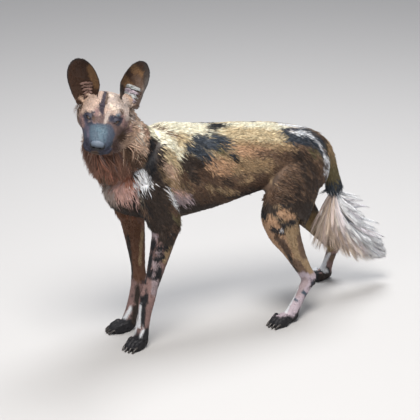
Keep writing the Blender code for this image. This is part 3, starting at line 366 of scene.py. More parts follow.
EAR_MARKS = (
    ("ear", 76, 62, 80, 98, 16), ("ear", 142, 62, 140, 104, 14), ("inner", 91, 69, 96, 80, 4.4),
    ("inner", 94, 80, 97, 86, 3), ("inner", 133, 68, 140, 75, 4), ("inner", 123, 79, 129, 86, 4.4),
    ("umber", 136, 78, 143, 86, 4), ("soot", 146, 66, 147, 92, 3), ("soot", 121, 88, 123, 96, 2.5),
)


def head_matrix():
    """From the head frame (the animal's right, forward, up) to the animal's."""
    forward = MUZZLE_WAY.normalized()
    right = forward.cross(Vector((0, 0, 1))).normalized()
    up = right.cross(forward)
    tilted_right = right * math.cos(HEAD_ROLL) + up * math.sin(HEAD_ROLL)
    tilted_up = up * math.cos(HEAD_ROLL) - right * math.sin(HEAD_ROLL)
    turn = Matrix((tilted_right, forward, tilted_up)).transposed()
    return Matrix.Translation(EYE_MIDDLE) @ turn.to_4x4()


def middle_of(node):
    """The middle of a node's box."""
    low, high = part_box(node)
    return (low + high) / 2


PLACE = head_matrix()
SHIFT = ((middle_of("eye_left") + middle_of("eye_right")) / 2
         - PLACE @ Vector((0, EYE_FORWARD, 0)))
SHIFT.z = 0.0


def unit(rows):
    """Each row at a length of 1."""
    return rows / np.maximum(np.linalg.norm(rows, axis=-1, keepdims=True), 1e-9)


def dot(a, b):
    """The dot product, row by row."""
    return np.sum(np.asarray(a) * np.asarray(b), axis=-1)


class Ripples:
    """Smooth seeded noise between about -1 and 1, a sum of plane waves."""

    def __init__(self, seed, size, count=9):
        draw = np.random.default_rng(seed)
        ways = unit(draw.normal(size=(count, 3)))
        self.waves = ways * (2 * math.pi / size) * draw.uniform(0.6, 1.7, (count, 1))
        self.starts = draw.uniform(0, 2 * math.pi, count)
        self.scale = 1.0 / math.sqrt(count / 2)

    def __call__(self, points):
        return np.sin(points @ self.waves.T + self.starts).sum(axis=1) * self.scale


class View:
    """The photograph's camera, for placing marks by its pixels."""

    def __init__(self):
        self.eye = np.array(CAMERA_AT)
        self.back = unit(np.array(CAMERA_AT - LOOK_AT))
        self.right = unit(np.cross((0, 0, 1), self.back))
        self.up = np.cross(self.back, self.right)

    def pixels(self, points):
        away = points - self.eye
        depth = -(away @ self.back)
        half = FRAME_WIDTH / 2
        return (half + FOCAL * (away @ self.right) / depth,
                half - FOCAL * (away @ self.up) / depth, depth)

    def depth_on(self, surface, x, y):
        """Depth of the surface at a pixel, or None beside it."""
        half = FRAME_WIDTH / 2
        ray = unit(-self.back + self.right * (x - half) / FOCAL + self.up * (half - y) / FOCAL)
        hit = surface.ray_cast(Vector(self.eye), Vector(ray))[0]
        return (hit - Vector(self.eye)).dot(Vector(-self.back)) if hit else None


VIEW = View()


def smooth_rows(rows, steps=5):
    """Rows of numbers with more rows laid between them on a smooth curve."""
    rows = np.array(rows, float)
    ends = np.vstack([2 * rows[0] - rows[1], rows, 2 * rows[-1] - rows[-2]])
    out = []
    for i in range(1, len(rows)):
        a, b, c, d = ends[i - 1:i + 3]
        for t in np.arange(steps) / steps:
            out.append(0.5 * (2 * b + (c - a) * t + (2 * a - 5 * b + 4 * c - d) * t * t
                              + (3 * b - 3 * c + d - a) * t ** 3))
    out.append(rows[-1])
    return np.array(out)


def new_object(name, mesh):
    """An object of that mesh, or camera or lamp, in the scene."""
    made = bpy.data.objects.new(name, mesh)
    bpy.context.scene.collection.objects.link(made)
    return made


def from_bmesh(name, bm):
    mesh = bpy.data.meshes.new(name)
    bm.to_mesh(mesh)
    bm.free()
    return new_object(name, mesh)


def ring(centre, across, upward, half, up, down, square=2.0, sides=36):
    """One closed ring; its upper and lower halves may differ in height."""
    turn = np.arange(sides) * 2 * math.pi / sides
    c, s = np.cos(turn), np.sin(turn)
    width = half * np.copysign(np.abs(c) ** (2 / square), c)
    height = np.where(s > 0, up, down) * np.copysign(np.abs(s) ** (2 / square), s)
    return np.array(centre) + np.outer(width, across) + np.outer(height, upward)


def loft(name, rings):
    """A closed skin over a row of rings."""
    bm = bmesh.new()
    loops = [[bm.verts.new(point) for point in points] for points in rings]
    count = len(loops[0])
    for low, high in zip(loops, loops[1:]):
        for i in range(count):
            j = (i + 1) % count
            bm.faces.new((low[i], low[j], high[j], high[i]))
    bm.faces.new(loops[0][::-1])
    bm.faces.new(loops[-1])
    bmesh.ops.recalc_face_normals(bm, faces=bm.faces)
    return from_bmesh(name, bm)


def ball(name, centre, radii, turn=Matrix.Identity(3), segments=32, rings=20):
    bm = bmesh.new()
    bmesh.ops.create_uvsphere(bm, u_segments=segments, v_segments=rings, radius=1.0)
    shape = Matrix.Translation(centre) @ turn.to_4x4() @ Matrix.Diagonal((*radii, 1.0))
    bmesh.ops.transform(bm, matrix=shape, verts=bm.verts)
    return from_bmesh(name, bm)


def path_loft(name, rows, front_way=Vector((-1, 0, 0))):
    """A loft along a path of x, y, z, half width, depth to the front and rear."""
    centres = [Vector(row[:3]) for row in rows]
    last = len(centres) - 1
    rings = []
    for i, row in enumerate(rows):
        along = (centres[min(i + 1, last)] - centres[max(i - 1, 0)]).normalized()
        across = along.cross(front_way).normalized()
        rings.append(ring(centres[i], across, across.cross(along), row[3], row[4], row[5], 2.1))
    return loft(name, rings)


def apply_modifiers(thing):
    """Makes the mesh what its modifiers show, and clears them."""
    bpy.context.view_layer.update()
    graph = bpy.context.evaluated_depsgraph_get()
    mesh = bpy.data.meshes.new_from_object(thing.evaluated_get(graph))
    thing.modifiers.clear()
    thing.data = mesh


def fuse(name, pieces, voxel, smoothing, triangles):
    """Joins overlapping closed pieces into one skin, smooths it and thins it."""
    bm = bmesh.new()
    for piece in pieces:
        bm.from_mesh(piece.data)
    for piece in pieces:
        bpy.data.objects.remove(piece, do_unlink=True)
    made = from_bmesh(name, bm)
    skin = made.modifiers.new("Skin", "REMESH")
    skin.mode = "VOXEL"
    skin.voxel_size = voxel
    soften = made.modifiers.new("Soften", "SMOOTH")
    soften.factor = 0.5
    soften.iterations = smoothing
    apply_modifiers(made)
    thin = made.modifiers.new("Thin", "DECIMATE")
    thin.ratio = min(1.0, triangles / (2 * len(made.data.polygons)))
    apply_modifiers(made)
    return made


def cut(thing, cutter, operation="DIFFERENCE"):
    """Takes the cutter away from a piece, or joins it on, and uses it up."""
    tool = thing.modifiers.new("Cut", "BOOLEAN")
    tool.object = cutter
    tool.operation = operation
    tool.solver = "MANIFOLD"
    apply_modifiers(thing)
    bpy.data.objects.remove(cutter, do_unlink=True)


def vectors_of(mesh, what):
    """The places or the normals of a mesh's points, one a row."""
    flat = np.empty(len(mesh.vertices) * 3, np.float32)
    mesh.vertices.foreach_get(what, flat)
    return flat.reshape(-1, 3).astype(float)


def move_points(mesh, points, lowest=None):
    """Sets the places of the mesh's points, none of them below the lowest height."""
    if lowest is not None:
        points[:, 2] = np.maximum(points[:, 2], lowest)
    mesh.vertices.foreach_set("co", points.astype(np.float32).ravel())
    mesh.update()


def mirrored(place, side):
    """A place in the head frame on one side; the left side is the frame's -X."""
    return Vector((side * place[0], place[1], place[2]))


def into(matrix, points):
    """The same points in the frame that the matrix places."""
    back = np.array(matrix.inverted())
    return points @ back[:3, :3].T + back[:3, 3]


def in_head(points):
    return into(PLACE, points)


def on_side(points, side):
    """Whether each point lies on that side of the head."""
    return in_head(points)[:, 0] * side > 0


def beyond(points, plane):
    """How far each point lies past a plane."""
    return (points - np.array(plane[0])) @ np.array(plane[1])


def ear_matrix(side):
    """The ear's frame: Z runs up the ear and Y to its open side."""
    lean = Matrix.Rotation(side * EAR_LEAN[side], 3, "Y")
    turn = Matrix.Rotation(-side * EAR_TURN[side], 3, "Z")
    back = Matrix.Rotation(EAR_BACK[side], 3, "X")
    return PLACE @ Matrix.Translation(mirrored(EAR_ROOT[side], side)) @ (turn @ lean @ back).to_4x4()


def ear_front(side):
    """The way that the open side of the ear faces."""
    return np.array(ear_matrix(side).to_3x3() @ Vector((0, 1, 0)))


def ear_half(side, height):
    """Half the ear's width at a share of its height, before its top is rounded off."""
    base = EAR_BASE_WIDTH[side]
    return (base + (1 - base) * np.sin(math.pi * np.minimum(height, 0.5)) ** 0.8) * EAR_WIDTH[side] / 2


def ear_sheet(side, height):
    """The ear's lean outwards, its cup and its bow at a share of its height."""
    skew = side * EAR_SKEW[side] * np.maximum(0.0, height - EAR_SKEW_START)
    return skew, EAR_CUP * (1 - 0.55 * height), EAR_BOW * np.sin(math.pi * height)


def ear(side):
    """A wide round cup, open to the front, thin walled."""
    bm = bmesh.new()
    bmesh.ops.create_grid(bm, x_segments=26, y_segments=30, size=1.0)
    for vert in bm.verts:
        u, rise = vert.co.x, (vert.co.y + 1) / 2
        top = max(0.0, 2 * rise - 1)
        across = u * math.sqrt(1 - top * top / 2)
        height = rise if rise < 0.5 else 0.5 + 0.5 * top * math.sqrt(1 - u * u / 2)
        skew, cup, bow = ear_sheet(side, height)
        vert.co = (across * ear_half(side, rise) + skew, cup * across * across - bow,
                   height * EAR_HEIGHT[side])
    made = from_bmesh("ear", bm)
    made.data.transform(ear_matrix(side))
    wall = made.modifiers.new("Wall", "SOLIDIFY")
    wall.thickness = EAR_WALL
    wall.offset = 0.0
    apply_modifiers(made)
    return made


def eye_centre(side):
    return mirrored((EYE_SPREAD, EYE_FORWARD, 0.0), side)


def eye_turn(side):
    """From the frame of one eye's opening (along it, outwards, up) to the head's."""
    return (Matrix.Rotation(-side * EYE_OUTWARD, 3, "Z") @ Matrix.Rotation(EYE_UPWARD, 3, "X")
            @ Matrix.Rotation(-side * EYE_SLANT, 3, "Y"))


def eye_opening(side):
    """A cutter with the almond outline of the gap between the lids."""
    turns = np.arange(40) * 2 * math.pi / 40
    along = EYE_LONG * np.cos(turns)
    shape = np.maximum(1 - (along / EYE_LONG) ** 2, 0.0) ** 0.8
    rise = np.where(np.sin(turns) > 0, EYE_OPEN[0], -EYE_OPEN[1]) * shape
    rings = []
    for out in (0.004, 0.010, 0.016, 0.030):
        flare = 1.0 + 6.0 * max(0.0, out - 0.0115)
        rings.append([PLACE @ (eye_centre(side) + eye_turn(side) @ Vector((a * flare, out, r * flare)))
                      for a, r in zip(along, rise)])
    return loft("eye_opening", rings)


def tube(name, points, radius):
    """A closed round tube along a smooth path."""
    path = smooth_rows([tuple(p) for p in points], 3)
    rows = [(*p, radius, radius, radius) for p in path]
    return path_loft(name, rows, Vector((0.2, 0.1, 1.0)))


def head_mesh():
    """Head, ears and the top of the neck as one fine closed mesh."""
    rings = []
    for y, top, bottom, half, square in smooth_rows(HEAD):
        middle = 0.5 * (top + bottom)
        rings.append([PLACE @ Vector(point) for point in ring(
            (0, y, middle), (1, 0, 0), (0, 0, 1), half, top - middle, middle - bottom, square)])
    stub = [(*row[:3], *(size - NECK_STUB_INSET for size in row[3:])) for row in NECK[2:]]
    pieces = [loft("head_form", rings), path_loft("neck_stub", smooth_rows(stub)),
              ball("nose", PLACE @ Vector(NOSE_CENTRE), NOSE_RADII, PLACE.to_3x3())]
    for side in (LEFT, RIGHT):
        for name, (centre, radii) in HEAD_MASSES.items():
            pieces.append(ball(name, PLACE @ mirrored(centre, side), radii, PLACE.to_3x3()))
        pieces.append(ball("lid_dome", PLACE @ eye_centre(side), (EYE_RADIUS + LID + 0.001,) * 3))
        pieces.append(ear(side))
    head = fuse("head", pieces, HEAD_VOXEL, 4, 96000)
    move_points(head.data, vectors_of(head.data, "co") - vectors_of(head.data, "normal") * HEAD_INSET)
    carve_face(head)
    return head


def carve_face(head):
    """Opens the lids over the eyes, the nostrils and the line of the mouth."""
    upright = PLACE.to_3x3()
    for side in (LEFT, RIGHT):
        cut(head, ball("socket", PLACE @ eye_centre(side), (EYE_RADIUS + SOCKET_GAP,) * 3,
                       segments=48, rings=32))
        cut(head, eye_opening(side))
        turn = upright @ Matrix.Rotation(-side * NOSTRIL_TURN, 3, "Z")
        cut(head, ball("nostril", PLACE @ mirrored(NOSTRIL, side), NOSTRIL_RADII, turn))
        turn = upright @ Matrix.Rotation(side * SLIT_TURN, 3, "Y")
        cut(head, ball("nostril_slit", PLACE @ mirrored(SLIT, side), SLIT_RADII, turn))
    surface = BVHTree.FromObject(head, bpy.context.evaluated_depsgraph_get())
    half = [Vector(point) for point in MOUTH]
    line = [Vector((-p.x, p.y, p.z)) for p in half[:0:-1]] + half
    for name, route, groove in (("mouth", smooth_rows(line, 3), MOUTH_GROOVE),
                                ("lip_split", LIP_SPLIT, LIP_GROOVE)):
        path = [surface.find_nearest(PLACE @ Vector(point))[0] for point in route]
        cut(head, tube(name, path, groove))


def paw_frame(key):
    """A paw's middle on the floor and the way it points."""
    (x, y), turn_out, side = PAWS[key]
    return Vector((x, y, 0)), Matrix.Rotation(-side * math.radians(turn_out), 3, "Z")


def paw_pieces(key):
    """A pad, four toes and their knuckles."""
    base, heading = paw_frame(key)
    pieces = [ball("pad", base + heading @ Vector((PAW_LENGTH * 0.16, 0, PAW_HEIGHT * 0.44)),
                   (PAW_LENGTH * 0.33, PAW_WIDTH * 0.42, PAW_HEIGHT * 0.52), heading)]
    for centre, spread, _ in toes(key):
        pieces.append(ball("toe", centre, (PAW_LENGTH * 0.29, PAW_WIDTH * 0.142, PAW_HEIGHT * 0.45), spread))
        knuckle = centre + spread @ Vector((PAW_LENGTH * 0.10, 0, PAW_HEIGHT * 0.20))
        pieces.append(ball("knuckle", knuckle, (0.013, PAW_WIDTH * 0.135, 0.0105), spread))
    return pieces


def toes(key):
    """Each toe's middle, its turn and the root of its claw."""
    base, heading = paw_frame(key)
    for toe in range(4):
        across = (toe - 1.5) / 4
        inner = 1 - abs(across) * 1.3
        reach = -PAW_LENGTH * (0.08 + 0.13 * inner)
        spread = heading @ Matrix.Rotation(across * 0.42, 3, "Z") @ Matrix.Rotation(-0.22, 3, "Y")
        centre = base + heading @ Vector((reach, across * PAW_WIDTH * 1.02, PAW_HEIGHT * 0.36))
        claw = base + heading @ Vector((reach - PAW_LENGTH * 0.235, across * PAW_WIDTH * 1.14,
                                        PAW_HEIGHT * 0.30))
        yield centre, spread, claw


def body_mesh():
    """Torso, legs, tail and neck from the solids, smoothed and drawn in by the coat's depth."""
    bm = bmesh.new()
    for node in ("torso", "tail", "foreleg_left", "foreleg_right", "hindleg_left", "hindleg_right"):
        bm.from_mesh(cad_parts[node].data)
    bmesh.ops.transform(bm, matrix=Matrix.Translation(-SHIFT), verts=bm.verts)
    bmesh.ops.remove_doubles(bm, verts=bm.verts, dist=1e-6)
    pieces = [from_bmesh("cad_flesh", bm)]
    pieces.append(path_loft("neck", smooth_rows(NECK)))
    dock = [(*place, *(DOCK_RADIUS - DOCK_TAPER * i,) * 3) for i, place in enumerate(TAIL_LINE)]
    pieces.append(path_loft("dock", smooth_rows(dock)))
    body = fuse("body", pieces, BODY_VOXEL, 9, 78000)
    points = vectors_of(body.data, "co")
    depth = coat_depth(points)
    move_points(body.data, points - vectors_of(body.data, "normal") * depth[:, None], 0.0)
    return body


def coat_depth(points):
    """How far the skin lies under the tips of the short coat."""
    z = points[:, 2]
    leg = np.clip((0.40 - z) / 0.10, 0, 1)
    depth = BODY_COAT * (1 - leg) + LEG_COAT * leg
    depth *= np.clip((z - 0.03) / 0.04, 0, 1)
    belly = np.clip((0.44 - z) / 0.05, 0, 1) * (1 - leg)
    depth *= 1 - 0.3 * belly
    neck = np.clip(beyond(points, NECK_BASE) / 0.03, 0, 1)
    return depth * (1 - 0.8 * neck)


def skin_mesh():
    """The whole skin: body, paws and head as one closed mesh."""
    body = body_mesh()
    pieces = [piece for key in PAWS for piece in paw_pieces(key)]
    pieces += [ball("heel", (x, y, HEEL_HEIGHT), HEEL_RADII) for x, y in HEELS]
    paws = fuse("paws", pieces, PAW_VOXEL, 3, 20000)
    move_points(paws.data, vectors_of(paws.data, "co"), PAW_REST)
    cut(body, paws, "UNION")
    cut(body, head_mesh(), "UNION")
    body.name = "skin"
    return body


def declare(thing, name, replaced=()):
    thing.name = name
    thing.data.name = name
    thing.data.transform(Matrix.Translation(SHIFT))
    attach(thing, "root")
    if replaced:
        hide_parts(*replaced)


def parts_of(points):
    """The part of the animal that each point lies on."""
    part = np.full(len(points), "torso", dtype="<U6")
    x, y, z = points.T
    part[beyond(points, NECK_BASE) > NECK_COAT_START] = "neck"
    part[(z < FORE_TOP) & (x < 0.27)] = "fore"
    part[(z < HIND_TOP) & (x > 0.38) & (np.abs(y) > 0.028)] = "hind"
    line = smooth_rows(TAIL_LINE, 6)
    away = np.min(np.linalg.norm(points[:, None, :] - line[None, 6:, :], axis=2), axis=1)
    part[(away < 0.034) & (x > 0.672) & (np.abs(y - 0.008) < 0.034) & (z > 0.08)] = "tail"
    ahead = beyond(points, NECK_TOP) > 0
    part[ahead] = np.where(z[ahead] > 0.55, "head", "torso")
    for side in (LEFT, RIGHT):
        away, _, local = ear_place(points, side)
        part[(away < 0.0046) & (local[:, 2] > 0.012)] = "ear"
    return part


def in_ear(points, side):
    return into(ear_matrix(side), points)


def ear_place(points, side):
    """Distance from the ear's own sheet, nearness to its rim (1 there), and place in its frame."""
    local = in_ear(points, side)
    share = local[:, 2] / EAR_HEIGHT[side]
    height = np.clip(share, 0, 1)
    skew, cup, bow = ear_sheet(side, height)
    across = (local[:, 0] - skew) / ear_half(side, height)
    off = np.maximum(np.abs(across) - 1.06, 0) + np.maximum(share - 1.03, 0)
    away = np.abs(local[:, 1] - (cup * across ** 2 - bow)) + off
    away[local[:, 2] < 0] = 1.0
    return away, np.hypot(across, np.maximum(0, 2 * height - 1)), local


def linear(colour):
    """A colour as it is seen, turned to amounts of light."""
    shade = np.array(colour, float) / 255
    return np.where(shade <= 0.04045, shade / 12.92, ((shade + 0.055) / 1.055) ** 2.4)


PAINT = {name: linear(colour) for name, colour in COLOURS.items()}
EDGE = Ripples(21, 0.020)
EDGE_TOO = Ripples(22, 0.022)
EDGE_FINE = Ripples(23, 0.007)
MOTTLE = Ripples(31, 0.050)
MOTTLE_TOO = Ripples(32, 0.024)
SPOTS = Ripples(33, 0.030)
WARP = [Ripples(41 + axis, 0.16) for axis in range(3)]


def stroke_mask(marks, points, surface, reach, soft=1.2, ragged=1.0):
    """For each mark, its colour and how far each point lies in it, from 0 to 1."""
    flat_x, flat_y, depth = VIEW.pixels(points)
    shake_x = ragged * (0.9 * EDGE(points) + 0.5 * EDGE_FINE(points))
    shake_y = ragged * (0.8 * EDGE_TOO(points) - 0.4 * EDGE_FINE(points))
    for name, x0, y0, x1, y1, radius in marks:
        depths = [VIEW.depth_on(surface, *spot)
                  for spot in ((x0, y0), (x1, y1), ((x0 + x1) / 2, (y0 + y1) / 2))]
        known = [d for d in depths if d is not None]
        if not known:
            continue
        start, end = (known[0] if d is None else d for d in depths[:2])
        loose = min(1.0, radius / 5)
        x, y = flat_x + loose * shake_x, flat_y + loose * shake_y
        way = np.array((x1 - x0, y1 - y0))
        along = np.clip(((x - x0) * way[0] + (y - y0) * way[1]) / max(way @ way, 1e-6), 0, 1)
        away = np.hypot(x - x0 - along * way[0], y - y0 - along * way[1])
        mask = np.clip((radius - away) / (soft + 0.25 * radius) + 0.5, 0, 1)
        level = start + (end - start) * along
        yield name, mask * np.clip((reach - np.abs(depth - level)) / 0.012, 0, 1)


def blend_in(colour, name, mask):
    """Lays a named colour over another as far as the mask goes."""
    return colour + (PAINT[name] - colour) * mask[:, None]


def add_marks(colour, marks, points, surface, reach, soft, ragged=1.0, where=1.0):
    """Lays the marks over a colour, one after another."""
    for name, mask in stroke_mask(marks, points, surface, reach, soft, ragged):
        colour = blend_in(colour, name, mask * where)
    return colour


def between(value, low, high):
    """0 up to the low value, 1 from the high one, and even between them."""
    return np.clip((value - low) / (high - low), 0, 1)


def far_side(points):
    """Takes the side that the photograph doesn't show to the one it shows, shaken out of place."""
    moved = points.copy()
    moved[:, 1] = -np.abs(points[:, 1])
    for axis, size in ((0, 0.045), (2, 0.022)):
        moved[:, axis] += size * WARP[axis](points)
    moved[:, 0] += 0.028
    return moved


def paint_torso(points, surface):
    """Torso: tan, with blotches of black, cream and white."""
    shown = points[:, 1] < SEEN_EDGE
    seen = np.where(shown[:, None], points, far_side(points))
    seen[:, 2] = np.where(shown, points[:, 2], np.minimum(seen[:, 2], 0.66))
    x, y, z = points.T
    colour = np.tile(PAINT["tan"], (len(points), 1))
    # Fawn and cream along the top of the back and umber low on the body: partly the coat's own colours,
    # partly painted light on the lit top and painted shade underneath.
    colour = blend_in(colour, "fawn", between(z, 0.56, 0.61))
    colour = blend_in(colour, "cream", between(z + 0.010 * EDGE(points), 0.612, 0.628))
    colour = blend_in(colour, "umber", between(-z, -0.50, -0.44))
    colour = blend_in(colour, "soot", 0.8 * between(MOTTLE(points) - 1.2 * (z - 0.45) / 0.1, 0.1, 1.1))
    below_back = between(-z, -0.60, -0.56)
    colour = blend_in(colour, "umber", 0.9 * between(x, 0.50, 0.56) * below_back)
    colour = blend_in(colour, "soot", between(-x, -0.12, -0.06) * below_back)
    colour = add_marks(colour, BODY_MARKS, seen, surface, 0.085, 1.3)
    haunch = between(x, 0.42, 0.47)
    flecks = between(MOTTLE_TOO(points) + 0.5 * EDGE(points), 0.3, 1.1) * haunch
    colour = blend_in(colour, "brown", 0.75 * (flecks * between(-z, -0.56, -0.52)))
    blots = between(MOTTLE(points) - 0.6 * EDGE(points), 0.5, 1.3) * haunch
    colour = blend_in(colour, "soot", 0.7 * blots * between(-z, -0.56, -0.50))
    colour = blend_in(colour, "umber", between(-x, -0.06, -0.03) * (y > 0.03))
    return add_marks(colour, CHEST_MARKS, points, surface, 0.09, 1.4)


def paint_neck(points, surface):
    """Neck: red-brown below, straw toward the head, with the shoulder's and the chest's marks."""
    x, y, z = points.T
    colour = np.tile(PAINT["ruff"], (len(points), 1))
    colour = blend_in(colour, "straw", between(z + 0.01 * EDGE(points), 0.66, 0.72))
    colour = blend_in(colour, "umber", between(MOTTLE(points), 0.3, 0.9) * 0.4)
    colour = blend_in(colour, "straw", 0.6 * between(y, 0.015, 0.040))
    colour = blend_in(colour, "olive", between(x + z - 0.70, 0.02, 0.05) * 0.4)
    colour = add_marks(colour, SHOULDER_MARKS, points, surface, 0.07, 1.4)
    return add_marks(colour, CHEST_MARKS, points, surface, 0.09, 1.4)


def paint_head(points, surface):
    """Pale brow, straw cheeks and a blue-black mask on the muzzle and round the eyes."""
    spot = in_head(points)
    out, forward, up = np.abs(spot[:, 0]), spot[:, 1], spot[:, 2]
    colour = np.tile(PAINT["brow"], (len(points), 1))
    colour = blend_in(colour, "straw", between(-forward, 0.080, 0.105))
    low = between(-up, 0.016, 0.036) * between(-forward, -0.015, 0.015)
    colour = blend_in(colour, "mauve", 0.8 * low)
    cheek = between(out, 0.050, 0.062) * between(-forward, 0.012, 0.032)
    colour = blend_in(colour, "straw", np.maximum(cheek, low * between(-forward, 0.03, 0.06)))
    colour = blend_in(colour, "ink", between(forward + 0.004 * EDGE(points), 0.012, 0.026))
    colour = add_marks(colour, FACE_MARKS, points, surface, 0.06, 1.0, 0.35)
    for side in (LEFT, RIGHT):
        away = np.linalg.norm(spot - np.array(eye_centre(side)), axis=1)
        colour = blend_in(colour, "ink", 0.8 * between(-away, -0.0165, -0.0145))
        local = in_ear(points, side)
        near = np.zeros(len(points))
        for place, (full, end) in (EAR_CORNER, EAR_CREASE):
            away = np.linalg.norm(local - np.array(mirrored(place, side)), axis=1)
            near = np.maximum(near, between(-away, -end, -full))
        colour = blend_in(colour, "ear", near)
    return colour


def paint_ears(points, normals, surface):
    """Dark, with a black rim; tan and brown inside, as marked."""
    colour = np.tile(PAINT["ear"], (len(points), 1))
    front = np.zeros(len(points))
    for side in (LEFT, RIGHT):
        front = np.where(on_side(points, side), between(dot(normals, ear_front(side)), -0.15, 0.15), front)
    colour = add_marks(colour, EAR_MARKS, points, surface, 0.06, 1.5, 0.5, front)
    colour = blend_in(colour, "umber", 0.5 * (1 - front))
    for side in (LEFT, RIGHT):
        _, edge, local = ear_place(points, side)
        rim = 0.85 * between(edge, 0.90, 0.97) * on_side(points, side) * (local[:, 2] > 0.03)
        colour = blend_in(colour, "black", rim)
    return colour


def paint_legs(points, surface):
    """Legs: mottled above, pale and spotted below, black on the paws."""
    x, y, z = points.T
    fore = x < 0.3
    left = y < 0
    colour = np.tile(PAINT["flush"], (len(points), 1))
    colour = blend_in(colour, "lilac", np.where(fore | ~left, 0, 1.0))
    upper = between(z + 0.02 * MOTTLE(points), 0.24, 0.30)
    colour = blend_in(colour, "umber", np.where(fore, upper, 0))
    colour = blend_in(colour, "tan", np.where(fore, 0, between(z, 0.13, 0.17)))
    colour = blend_in(colour, "umber", np.where(fore | left, 0, between(z, 0.10, 0.14)))
    colour = blend_in(colour, "soot", np.where(fore, 0, upper * between(MOTTLE_TOO(points), -0.4, 0.1)))
    spots = between(SPOTS(points), 0.45, 0.62) * between(z, 0.05, 0.08)
    colour = blend_in(colour, "black", spots * np.where(left, 1.0, 0.8))
    colour = blend_in(colour, "black", between(-z - 0.012 * EDGE(points), -0.050, -0.036))
    colour = add_marks(colour, LIMB_MARKS, points, surface, 0.06, 1.2, 0.8, left)
    colour = add_marks(colour, LEG_MARKS, points, surface, 0.045, 0.7, 0.55, left)
    return add_marks(colour, FAR_LEG_MARKS, points, surface, 0.045, 0.7, 0.55, ~left)


def paint_tail(points, surface):
    """Tail above its brush: tan, then olive, a black band and the brush's white."""
    drop = 0.004 * EDGE(points) - points[:, 2]
    colour = np.tile(PAINT["olive"], (len(points), 1))
    colour = blend_in(colour, "tan", between(points[:, 2], 0.44, 0.50))
    colour = blend_in(colour, "night", between(drop, -0.400, -0.392))
    return blend_in(colour, "white", between(drop, -0.352, -0.344))


PAINTERS = ((("torso",), paint_torso), (("neck",), paint_neck), (("head",), paint_head),
            (("fore", "hind"), paint_legs), (("tail",), paint_tail))


def paint(points, normals, part, surface):
    """The coat's colour at each point, for skin and tufts alike."""
    colour = np.tile(PAINT["tan"], (len(points), 1))
    for names, painter in PAINTERS:
        chosen = np.isin(part, names)
        if chosen.any():
            colour[chosen] = painter(points[chosen], surface)
    ears = part == "ear"
    if ears.any():
        colour[ears] = paint_ears(points[ears], normals[ears], surface)
    return colour


class Coat:
    """Tufts over the skin, drawn from seeded points on its triangles."""

    def __init__(self, skin):
        mesh = skin.data
        mesh.calc_loop_triangles()
        count = len(mesh.loop_triangles)
        corners = np.empty(count * 3, np.int32)
        mesh.loop_triangles.foreach_get("vertices", corners)
        self.corners = corners.reshape(-1, 3)
        self.points = vectors_of(mesh, "co")
        self.normals = vectors_of(mesh, "normal")
        a, b, c = (self.points[self.corners[:, i]] for i in range(3))
        self.areas = np.linalg.norm(np.cross(b - a, c - a), axis=1) / 2
        self.middles = (a + b + c) / 3
        self.part = parts_of(self.middles)
        self.surface = BVHTree.FromObject(skin, bpy.context.evaluated_depsgraph_get())
        self.draw = np.random.default_rng(SEED)

    def roots(self, count, chosen, density=None):
        """Random places on the chosen triangles, with their normals."""
        weight = self.areas * chosen
        if density is not None:
            weight = weight * density
        picks = self.draw.choice(len(weight), count, p=weight / weight.sum())
        a, b = self.draw.random((2, count, 1))
        fold = (a + b) > 1
        a, b = np.where(fold, 1 - a, a), np.where(fold, 1 - b, b)
        mix = np.concatenate([1 - a - b, a, b], axis=1)
        corners = self.corners[picks]
        place = np.einsum("ij,ijk->ik", mix, self.points[corners])
        normal = unit(np.einsum("ij,ijk->ik", mix, self.normals[corners]))
        return place, normal


def tuft_mesh(name, paths, outs, widths, root_colour, tip_colour, chart):
    """Closed flat tapered tufts, each a row of three-pointed rings and a tip."""
    count, steps, _ = paths.shape
    rings = steps - 1
    side = unit(np.cross(np.gradient(paths, axis=1), outs))
    share = np.arange(steps) / rings
    profile = np.interp(share, (0, 0.35, 1), (0.75, 1.0, 0.12))
    wide = widths[:, None, None] * profile[None, :, None]
    high = widths[:, None, None] * TUFT_RIDGE * profile[None, :, None]
    body = np.stack([paths - side * wide, paths + side * wide, paths + outs * high], axis=2)[:, :rings]
    verts = np.concatenate([body.reshape(count, rings * 3, 3), paths[:, -1:, :]], axis=1)
    verts[:, :, 2] = np.maximum(verts[:, :, 2], TUFT_REST)
    per = rings * 3 + 1
    faces = [(2, 1, 0)]
    for k in range(0, 3 * rings - 3, 3):
        for i, j in ((0, 1), (1, 2), (2, 0)):
            faces.append((k + i, k + j, k + 3 + j, k + 3 + i))
    for i, j in ((0, 1), (1, 2), (2, 0)):
        faces.append((3 * rings - 3 + i, 3 * rings - 3 + j, per - 1))
    sizes = np.array([len(face) for face in faces])
    corner = (np.concatenate(faces)[None, :] + per * np.arange(count)[:, None]).ravel()
    starts = np.concatenate([[0], np.cumsum(np.tile(sizes, count))[:-1]])
    mesh = bpy.data.meshes.new(name)
    mesh.vertices.add(count * per)
    mesh.loops.add(len(corner))
    mesh.polygons.add(count * len(faces))
    mesh.vertices.foreach_set("co", verts.astype(np.float32).ravel())
    mesh.loops.foreach_set("vertex_index", corner.astype(np.int32))
    mesh.polygons.foreach_set("loop_start", starts.astype(np.int32))
    mesh.update(calc_edges=True)
    level = np.append(np.repeat(share[:rings], 3), 1.0)
    colour = root_colour[:, None, :] + (tip_colour - root_colour)[:, None, :] * level[None, :, None]
    store_colour(mesh, colour.reshape(-1, 3))
    across = np.append(np.tile([-1.0, 1.0, 0.0], rings), 0.0)
    spread = np.stack([across, 2 * level - 1], axis=1) * TUFT_MARGIN
    uv = (chart[:, None, :] + spread[None, :, :]).reshape(-1, 2)
    layer = mesh.uv_layers.new(name="OFBake")
    layer.data.foreach_set("uv", uv[corner].astype(np.float32).ravel())
    mesh.shade_smooth()
    return new_object(name, mesh)


